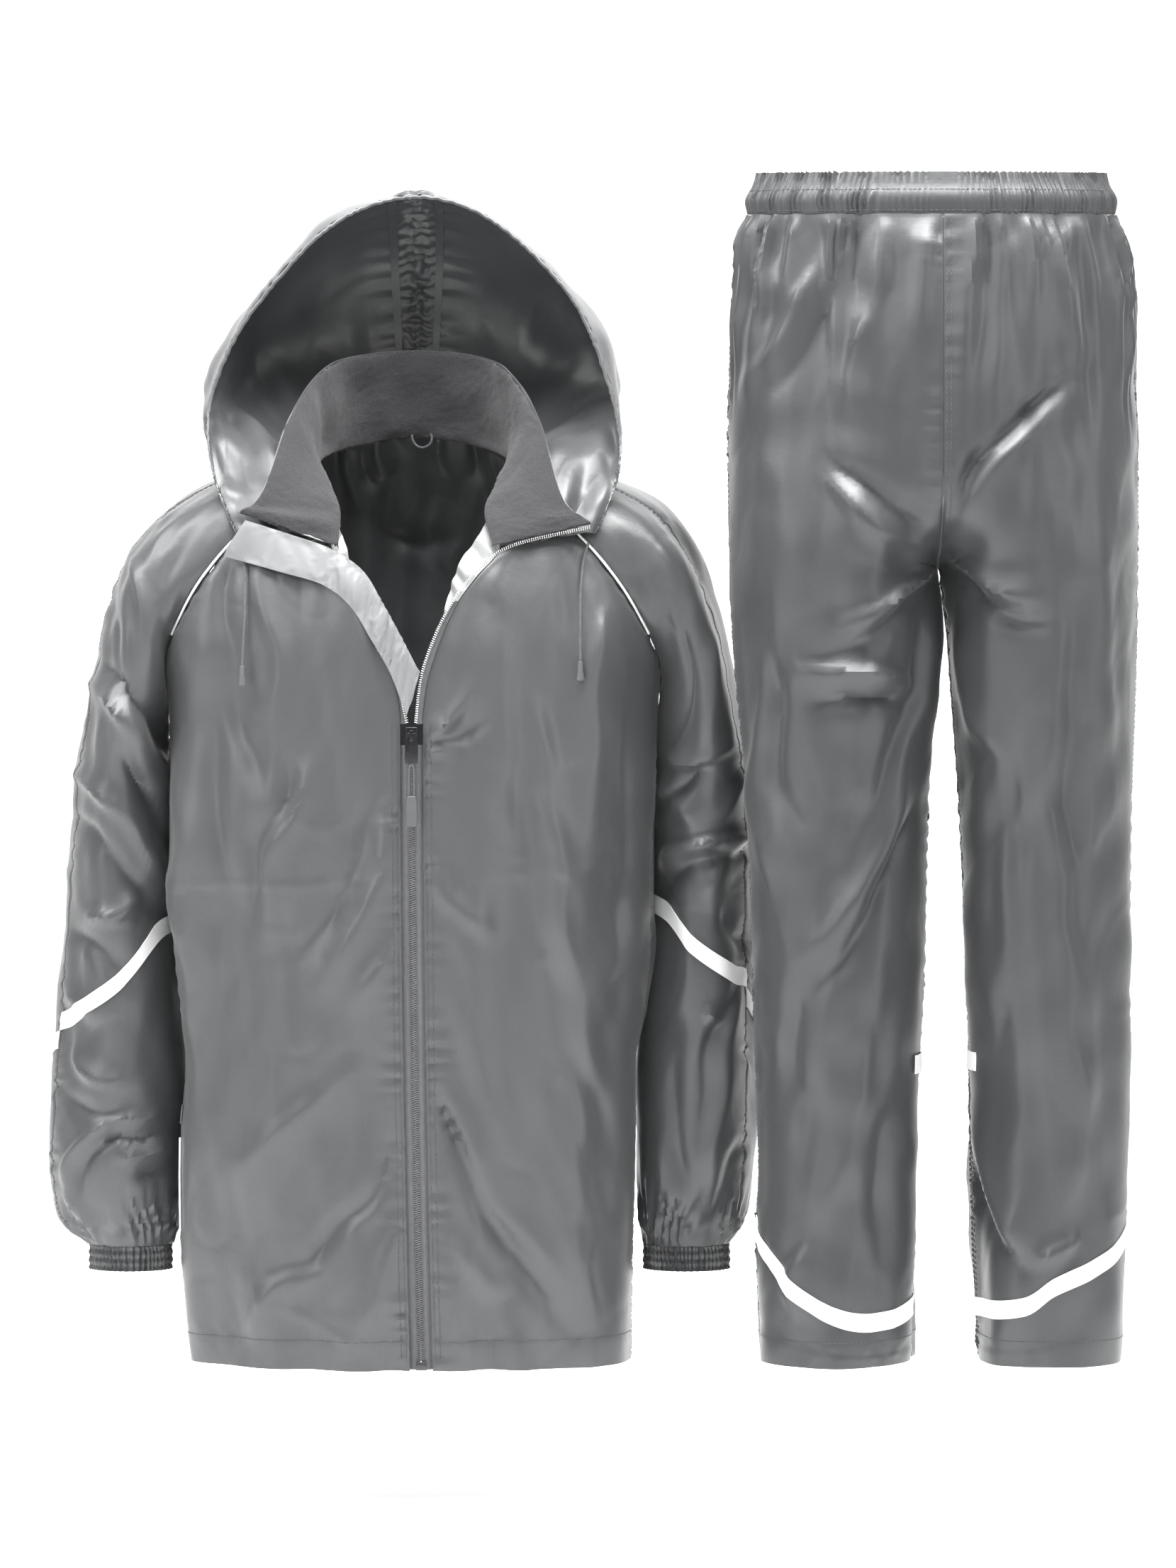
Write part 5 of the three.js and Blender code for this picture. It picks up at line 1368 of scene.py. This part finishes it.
def make_front_edges(materials):
    def flap_relief(place, across, plain, edges):
        along = 240 * place
        rest = smooth(across / 0.15) * smooth((1 - across) / 0.15)
        fold = 1.6 * np.sin(math.pi * across) * (1 + 0.6 * waves(along, 0 * across, 89, 60))
        wrinkles = 1.1 * waves(along + 14 * across, 12 * across, 91, 17)
        wrinkles += crumple(along, 34 * across, 92, 26, 1.1)
        hem = pucker(edges["bottom"] - 3, along, 93, *PUCKER["flap hem"])
        hem += pucker(edges["top"] - 3, along, 94, *PUCKER["flap hem"])
        return fold + wrinkles * rest + hem

    panel("storm_flap_cloth", "storm_flap", strip_surface(FLAP, "inner", "outer"),
          places(0, 1, FLAP_LONG, FINE_GRID), places(0, 1, FLAP_WIDE, FINE_GRID), 1, flap_relief,
          materials["silver"])

    def facing_relief(row, across, plain, edges):
        return 1.3 * waves(40 * row, 8 * across, 95, 20) * smooth(across / 0.3)

    for side in ("left", "right"):
        first, last = FACING[side][1][0, 0], FACING[side][1][-1, 0]
        panel(f"facing_{side}_cloth", f"facing_{side}", facing_surface(side),
              places(first, last, FACING_LONG, FINE_GRID), places(0, 1, FACING_WIDE, FINE_GRID), SIDE[side],
              facing_relief, materials["silver"])


def make_trousers(materials):
    for side in ("left", "right"):
        for face in ("front", "back"):
            surface = leg_surface(side, face)
            sign = -SIDE[side] if face == "front" else SIDE[side]
            folds = TROUSER_FRONT_FOLDS if face == "front" else TROUSER_BACK_FOLDS
            seed = 200 + 10 * SIDE[side] + (face == "front")

            def relief(share, row, plain, edges, folds=folds, seed=seed):
                x, z = plain[..., 0], plain[..., 2]
                outer_seam = share * LEG_ARC
                inner_seam = np.abs(1 - share) * LEG_ARC
                seam = np.minimum(outer_seam, inner_seam)
                above_hem = row - LEG_HEM_Z
                fade = smooth(outer_seam / 24) * smooth(inner_seam / 22)
                fade *= smooth((WAIST_SEAM_Z - row) / SEAM_FADE)
                height = fold_height(folds, x, z, seed) + base_relief(x, z, seed + 3)
                height *= FOLD_STRENGTH * fade
                around = LEG_ROUND * share
                ends = smooth(share / 0.05) * smooth((1 - share) / 0.04)
                ends *= 0.3 + 0.7 * smooth((WAIST_SEAM_Z - row) / 16)
                pitch, high = WAIST_GATHER
                drift = 2.6 * waves(around, row / 5, seed + 5, 42)
                gathers = np.sin(2 * math.pi * (around / pitch) + drift)
                fall = GATHER_END_Z + 34 * waves(around, 0 * row, seed + 8, 46)
                height += high * gathers * smooth((z - fall) / 55) * ends
                pitch, high = WAIST_PLEAT
                drift = 2.4 * waves(around, row / 6, seed + 6, 80)
                deep = np.sin(2 * math.pi * (around / pitch) + drift)
                height += high * deep * smooth((z - fall + 90) / 120) * ends
                height += pucker(seam, z, seed + 7, *PUCKER["leg seam"])
                height += pucker(above_hem - LEG_HEM_STITCH, x, seed + 9, *PUCKER["leg hem"])
                height += HEM_LAYER * smooth((LEG_HEM_STITCH - above_hem) / 2)
                return height + seam_groove(seam)

            stripe_z = LEG_STRIPE[face]["z"]
            stripe_edges = [stripe_z - STRIPE_WIDTH / 2, stripe_z + STRIPE_WIDTH / 2]
            us = places(0, 1, LEG_WIDE, TROUSER_GRID)
            tape_us = places(0, TAB_END[side] if face == "back" else 1, LEG_WIDE, TROUSER_GRID)
            rows = places(LEG_HEM_Z, WAIST_SEAM_Z, WAIST_SEAM_Z - LEG_HEM_Z, TROUSER_GRID, stripe_edges)
            panel(f"leg_{side}_{face}_shell", f"trouser_{side}_{face}", surface, us, rows, sign, relief,
                  materials["trouser"])
            vs = places(*stripe_edges, STRIPE_WIDTH, STRIPE_GRID)
            panel(f"leg_tape_{side}_{face}", f"leg_stripe_{side}_{face}",
                  raised(surface, sign, LIFT + TRIM), tape_us, vs, sign, relief, materials["reflective"],
                  TRIM)


def make_waistband(materials):
    def ring(turn, z):
        angle = 2 * math.pi * turn
        at = row_at(WAISTBAND, z)
        half = np.where(np.cos(angle) > 0, WAIST["right"], WAIST["left"])
        depth = np.where(np.sin(angle) < 0, WAIST["front"], WAIST["back"])
        return np.stack([TROUSERS_X + (half + at["out"]) * np.cos(angle),
                         TROUSERS_Y + (depth + at["out"]) * np.sin(angle), z], -1)

    def relief(turn, z, plain, edges):
        around = WAIST_ROUND * turn
        from_centre = np.abs(plain[..., 0] - TROUSERS_X)
        ribbed = np.where(plain[..., 1] < TROUSERS_Y, smooth((from_centre - WAIST_PLAIN_HALF) / 5), 1)
        uneven = waves(around, z * 0.4, 97, 34)
        ribs = np.cos(2 * math.pi * WAIST_RIBS * turn + 1.5 * uneven) * (0.75 + 0.35 * uneven)
        return 1.1 * row_at(WAISTBAND, z)["ribs"] * ribs * ribbed

    turns = np.linspace(0, 1, WAIST_RIBS * 5 + 1)[:-1]
    heights = np.linspace(WAISTBAND[1][0, 0], WAISTBAND[1][-1, 0], 19)
    panel("waistband_shell", "waistband", ring, turns, heights, 1, relief, materials["trouser"],
          closed=True)


# Zip, cords and small parts
def bars(name, node, centres, along, out, size, material, sides=6, profile=TOOTH_PROFILE):
    """Many small rounded bars as one piece: each has a centre, two directions and a size in mm."""
    vertices = []
    faces = []
    long, wide, high = size
    ring = [(math.cos(a), math.sin(a)) for a in np.arange(sides) * 2 * math.pi / sides]
    for centre, direction, up in zip(centres, along, out):
        direction = direction / np.linalg.norm(direction)
        side = np.cross(direction, up)
        side /= np.linalg.norm(side)
        top = np.cross(side, direction)
        start = len(vertices)
        for share, scale in profile:
            for c, s in ring:
                vertices.append(centre + direction * share * long + side * c * scale * wide / 2
                                + top * s * scale * high / 2)
        for layer in range(len(profile) - 1):
            for k in range(sides):
                low = start + layer * sides
                after = (k + 1) % sides
                faces.append((low + k, low + after, low + sides + after, low + sides + k))
        faces.append(tuple(start + k for k in reversed(range(sides))))
        faces.append(tuple(start + sides * (len(profile) - 1) + k for k in range(sides)))
    piece = link_mesh(name, np.array(vertices) * MM, faces, material, crease=60)
    if node:
        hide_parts(node)


def zip_sheet(x, z, raise_by):
    return np.stack([zip_x(z) + x, row_at(BODY, z)["front"] - raise_by, z], -1)


def make_zip(materials):
    bottom = HEM_Z + 1
    top = SLIDER_Z - SLIDER_HALF - 0.2
    for side in ("left", "right"):
        sign = SIDE[side]
        inner = sign * 0.2
        outer = sign * (ZIP_HALF + 3.5)

        def surface(x, z):
            return zip_sheet(x, z, -LIFT - TAPE_DROP * smooth((np.abs(x) - 5) / 3.5))

        def relief(x, z, plain, edges, sign=sign):
            return pucker(ZIP_HALF - np.abs(x), z, 101 + sign, *PUCKER["zip tape"])

        panel(f"zip_tape_{side}_cloth", f"zip_tape_{side}", surface,
              places(min(inner, outer), max(inner, outer), 13, 1.3),
              places(bottom, top, top - bottom, 4), 1, relief, materials["tape"], TRIM)
    heights = np.arange(bottom + BOTTOM_BOX_HEIGHT + 1.2, top - 0.6, TOOTH_PITCH)
    offsets = np.where(np.arange(len(heights)) % 2 == 0, -0.9, 0.9)
    centres = zip_sheet(offsets, heights, 0.55)
    along = np.tile(np.array([1.0, 0, 0.12]), (len(heights), 1))
    out = np.tile(np.array([0, -1.0, 0]), (len(heights), 1))
    bars("zip_teeth_closed", "zip_coil", centres, along, out, TOOTH, materials["teeth"])
    for side in ("left", "right"):
        line = smooth_line(OPEN_ZIP[side][1][:, 1:], 40)
        steps = np.concatenate([[0], np.cumsum(np.linalg.norm(np.diff(line, axis=0), axis=1))])
        marks = np.arange(1.5, steps[-1] - 1, OPEN_TOOTH_PITCH)
        points = np.stack([np.interp(marks, steps, line[:, axis]) for axis in range(3)], -1)
        tangents = np.gradient(points, axis=0)
        sideways = np.cross(tangents, np.array([0, -1.0, 0]))
        out = np.tile(np.array([0, -1.0, 0]), (len(points), 1))
        bars(f"zip_teeth_open_{side}", f"zip_open_coil_{side}", points, sideways, out, OPEN_TOOTH,
             materials["bright_metal"])


def make_open_tapes(materials):
    """Tape between each open coil and the front's edge, above the slider."""
    for side in ("left", "right"):
        sign = SIDE[side]
        last = OPEN_ZIP[side][1][-1, 0] if side == "left" else OPEN_TAPE_END
        edge_rows = np.linspace(-0.02, 2.2, 120)
        edge = front_surface(side)(np.zeros_like(edge_rows), edge_rows)

        def surface(place, across, side=side, edge=edge):
            at = row_at(OPEN_ZIP[side], place)
            coil = np.stack([at["x"], at["y"], at["z"]], -1)
            cloth = np.stack([np.interp(at["z"], edge[:, 2], edge[:, axis]) for axis in range(3)], -1)
            middle = lerp(coil, cloth, across[..., None])
            middle[..., 1] += 1.4
            return middle

        us = places(0, last, 90, 2.0)
        vs = places(0.1, 1.15, 7, 1.4)
        u, v = np.meshgrid(us, vs)
        points = surface(u, v)
        out = grid_normals(points, sign)
        if out[..., 1].mean() > 0:
            out = -out
        shell(f"zip_open_tape_{side}", points, out, TRIM, materials["tape"])


def rounded_copy(name, node, width, material, body):
    """A solid of the frame with its edges rounded, standing for the plain one."""
    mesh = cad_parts[node].data.copy()
    mesh.name = name
    mesh.materials.clear()
    mesh.materials.append(material)
    work = bmesh.new()
    work.from_mesh(mesh)
    bmesh.ops.remove_doubles(work, verts=work.verts, dist=1e-6)
    bmesh.ops.dissolve_limit(work, angle_limit=math.radians(2), verts=work.verts, edges=work.edges)
    sharp = [edge for edge in work.edges if len(edge.link_faces) == 2 and edge.calc_face_angle() > 0.5]
    bmesh.ops.bevel(work, geom=sharp, offset=width, segments=3, profile=0.6, affect="EDGES",
                    clamp_overlap=True)
    bmesh.ops.triangulate(work, faces=work.faces)
    work.to_mesh(mesh)
    work.free()
    mesh.polygons.foreach_set("use_smooth", [True] * len(mesh.polygons))
    mesh.set_sharp_from_angle(angle=math.radians(40))
    piece = bpy.data.objects.new(name, mesh)
    bpy.context.scene.collection.objects.link(piece)
    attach(piece, body)
    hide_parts(node)
    return piece


def make_slider(materials):
    for node, width, body in (("zip_slider", 0.0009, SUIT), ("zip_bridge", 0.0005, SUIT),
                              ("zip_bottom_box", 0.0007, SUIT), ("zip_pull_plate", 0.0003, PULL)):
        rounded_copy(f"{node}_metal", node, width, materials["metal"], body)
    rounded_copy("pull_grip_moulded", "zip_pull_grip", 0.0009, materials["grip"], PULL)
    tube("pull_cord_braid", "zip_pull_cord", PULL_ROUTE, PULL_CORD_RADIUS, materials["cord"], PULL)


def make_drawcords(materials):
    for side in ("left", "right"):
        points = np.array(DRAWCORD[side])
        bell = rounded_copy(f"bell_end_{side}", f"cord_end_{side}", 0.0004, materials["grip"],
                            SUIT)
        cord = tube(f"drawcord_{side}_braid", f"drawcord_{side}", points, CORD_DIAMETER / 2,
                    materials["cord"])


def seam_line(name, edge, inset):
    """Points and out directions along a panel, at one distance in from an edge."""
    points, normals, edges = PANELS[name]
    distances = edges[edge]
    if edge in ("bottom", "top"):
        points = points.transpose(1, 0, 2)
        normals = normals.transpose(1, 0, 2)
        distances = distances.T
    line = []
    out = []
    for row in range(len(points)):
        order = np.argsort(distances[row])
        near = distances[row][order]
        line.append([np.interp(inset, near, points[row][order, axis]) for axis in range(3)])
        out.append([np.interp(inset, near, normals[row][order, axis]) for axis in range(3)])
    return np.array(line), np.array(out)


def stitches(name, lines, material):
    """Rows of sewing stitches that lie on the cloth, as one piece."""
    centres, along, out = [], [], []
    for line, normals in lines:
        steps = np.concatenate([[0], np.cumsum(np.linalg.norm(np.diff(line, axis=0), axis=1))])
        marks = np.arange(STITCH_PITCH, steps[-1] - STITCH_PITCH, STITCH_PITCH)
        points = np.stack([np.interp(marks, steps, line[:, axis]) for axis in range(3)], -1)
        ups = np.stack([np.interp(marks, steps, normals[:, axis]) for axis in range(3)], -1)
        centres.append(points + ups * STITCH_RADIUS * 0.5)
        along.append(np.gradient(points, axis=0))
        out.append(ups)
    size = (STITCH_LONG, 2 * STITCH_RADIUS, 2 * STITCH_RADIUS)
    bars(name, None, np.concatenate(centres), np.concatenate(along), np.concatenate(out), size, material,
         sides=4, profile=STITCH_PROFILE)


def make_stitching(materials):
    lines = []
    for side in ("left", "right"):
        front = f"front_{side}_shell"
        below = slice(4, None)
        lines.append(seam_line(front, "bottom", HEM_STITCH))
        for inset in (2.6, 7.2):
            line, out = seam_line(front, "start", inset)
            keep = line[:, 2] < ARMPIT_Z
            lines.append((line[keep][below], out[keep][below]))
        lines.append(seam_line(front, "end", 2.4))
        lines.append(seam_line(f"sleeve_{side}_front_shell", "end", 2.2))
    lines.append(seam_line("back_shell", "bottom", HEM_STITCH))
    stitches("jacket_stitching", lines, materials["thread"])
    lines = []
    for side in ("left", "right"):
        for face in ("front", "back"):
            leg = f"leg_{side}_{face}_shell"
            lines.append(seam_line(leg, "bottom", LEG_HEM_STITCH))
            lines.append(seam_line(leg, "start", 2.6))
            if side == "right":
                lines.append(seam_line(leg, "end", 2.6))
                lines.append(seam_line(leg, "end", 6.4))
    for edge, inset in (("bottom", 2.4), ("bottom", 20.5)):
        lines.append(seam_line("waistband_shell", edge, inset))
    stitches("trouser_stitching", lines, materials["thread"])


def make_trim(materials):
    for side in ("left", "right"):
        rows = np.linspace(*PIPING_ROWS, 26)
        ones = np.ones_like(rows)
        out = square(front_surface(side), ones, rows, SIDE[side])
        out = (out + square(sleeve_surface(side), -ones, ARMPIT_ROW - rows, -SIDE[side])) / 2
        valley = np.linalg.norm(out, axis=-1, keepdims=True)
        lift = (PIPING_RADIUS + LIFT) / np.maximum(valley, VALLEY_LIMIT) ** 2
        line = front_surface(side)(ones, rows) + out / valley * lift
        tube(f"piping_{side}_cord", f"piping_{side}", line * MM, PIPING_RADIUS * MM,
             materials["reflective"])
    points, normals, _ = PANELS["front_left_shell"]
    rows = body_rows()
    columns = places(0, 1, FRONT_WIDE, GRID)
    column = int(np.argmin(np.abs(columns - POCKET_SHARE)))
    for name, node, (low, high, step), material in (
            ("pocket_piping_cord", "pocket_piping", POCKET_PIPING_ROWS, "reflective"),
            ("pocket_cord_braid", "pocket_cord", POCKET_CORD_ROWS, "cord")):
        keep = (rows >= low) & (rows <= high)
        line = points[keep, column] + normals[keep, column] * (PIPING_RADIUS + 0.1)
        tube(name, node, line[::step] * MM, PIPING_RADIUS * 0.85 * MM, materials[material])
    hanger = tube("hanger_loop_cord", "hanger_loop", LOOP_ROUTE, LOOP_DIAMETER / 2, materials["cord"])


# Studio
def area_light(name, place, aim, size, power):
    light = bpy.data.lights.new(name, "AREA")
    light.shape = "RECTANGLE"
    light.size, light.size_y = size
    light.energy = power
    lamp = bpy.data.objects.new(name, light)
    lamp.location = place
    lamp.rotation_euler = (Vector(aim) - Vector(place)).to_track_quat("-Z", "Y").to_euler()
    bpy.context.scene.collection.objects.link(lamp)


def make_studio():
    tilt = math.radians(CAMERA_TILT)
    camera = bpy.data.cameras.new("camera")
    camera.sensor_fit = "VERTICAL"
    camera.sensor_height = SENSOR
    camera.lens = SENSOR * CAMERA_DISTANCE / FRAME_HEIGHT
    view = bpy.data.objects.new("camera", camera)
    aim = Vector(CAMERA_AIM)
    view.location = aim + Vector((0, -math.cos(tilt), math.sin(tilt))) * CAMERA_DISTANCE
    view.rotation_euler = (aim - view.location).to_track_quat("-Z", "Y").to_euler()
    bpy.context.scene.collection.objects.link(view)
    bpy.context.scene.camera = view

    world = bpy.data.worlds.new("studio")
    world.use_nodes = True
    sky = world.node_tree.nodes["Background"]
    sky.inputs["Color"].default_value = (1, 1, 1, 1)
    sky.inputs["Strength"].default_value = SKY_STRENGTH
    bpy.context.scene.view_settings.view_transform = "Standard"
    bpy.context.scene.world = world

    for light in LIGHTS:
        area_light(*light)

    sweep = [(FLOOR_REACH + SWEEP_RADIUS * math.sin(a), FLOOR_Z + SWEEP_RADIUS * (1 - math.cos(a)))
             for a in np.linspace(0, math.pi / 2, 12)]
    top = (FLOOR_REACH + SWEEP_RADIUS, FLOOR_Z + BACKDROP_HEIGHT)
    stage_sheet("floor", [(-FLOOR_REACH, FLOOR_Z), (FLOOR_REACH, FLOOR_Z)], FLOOR_GLOW)
    stage_sheet("backdrop", sweep + [top], BACKDROP_GLOW)


def stage_sheet(name, profile, glow):
    """A white sheet behind or below the suit, with a glow of its own."""
    material, _, shader = new_material(f"white {name}")
    shader.inputs["Base Color"].default_value = (0.92, 0.92, 0.92, 1)
    shader.inputs["Roughness"].default_value = 0.9
    shader.inputs["Emission Color"].default_value = (1, 1, 1, 1)
    shader.inputs["Emission Strength"].default_value = glow
    mesh = bpy.data.meshes.new(name)
    vertices = [(x, y, z) for y, z in profile for x in (-FLOOR_REACH, FLOOR_REACH)]
    faces = [(2 * k, 2 * k + 1, 2 * k + 3, 2 * k + 2) for k in range(len(profile) - 1)]
    mesh.from_pydata(vertices, [], faces)
    mesh.polygons.foreach_set("use_smooth", [True] * len(mesh.polygons))
    mesh.materials.append(material)
    sheet = bpy.data.objects.new(name, mesh)
    bpy.context.scene.collection.objects.link(sheet)


make_studio()
MATERIALS = make_materials()
make_drawcords(MATERIALS)
make_body(MATERIALS)
make_sleeves(MATERIALS)
make_cuffs(MATERIALS)
make_hood(MATERIALS)
make_seam_tapes(MATERIALS)
make_collar(MATERIALS)
make_front_edges(MATERIALS)
make_zip(MATERIALS)
make_open_tapes(MATERIALS)
make_slider(MATERIALS)
make_trousers(MATERIALS)
make_waistband(MATERIALS)
make_trim(MATERIALS)
make_stitching(MATERIALS)

bpy.context.view_layer.update()
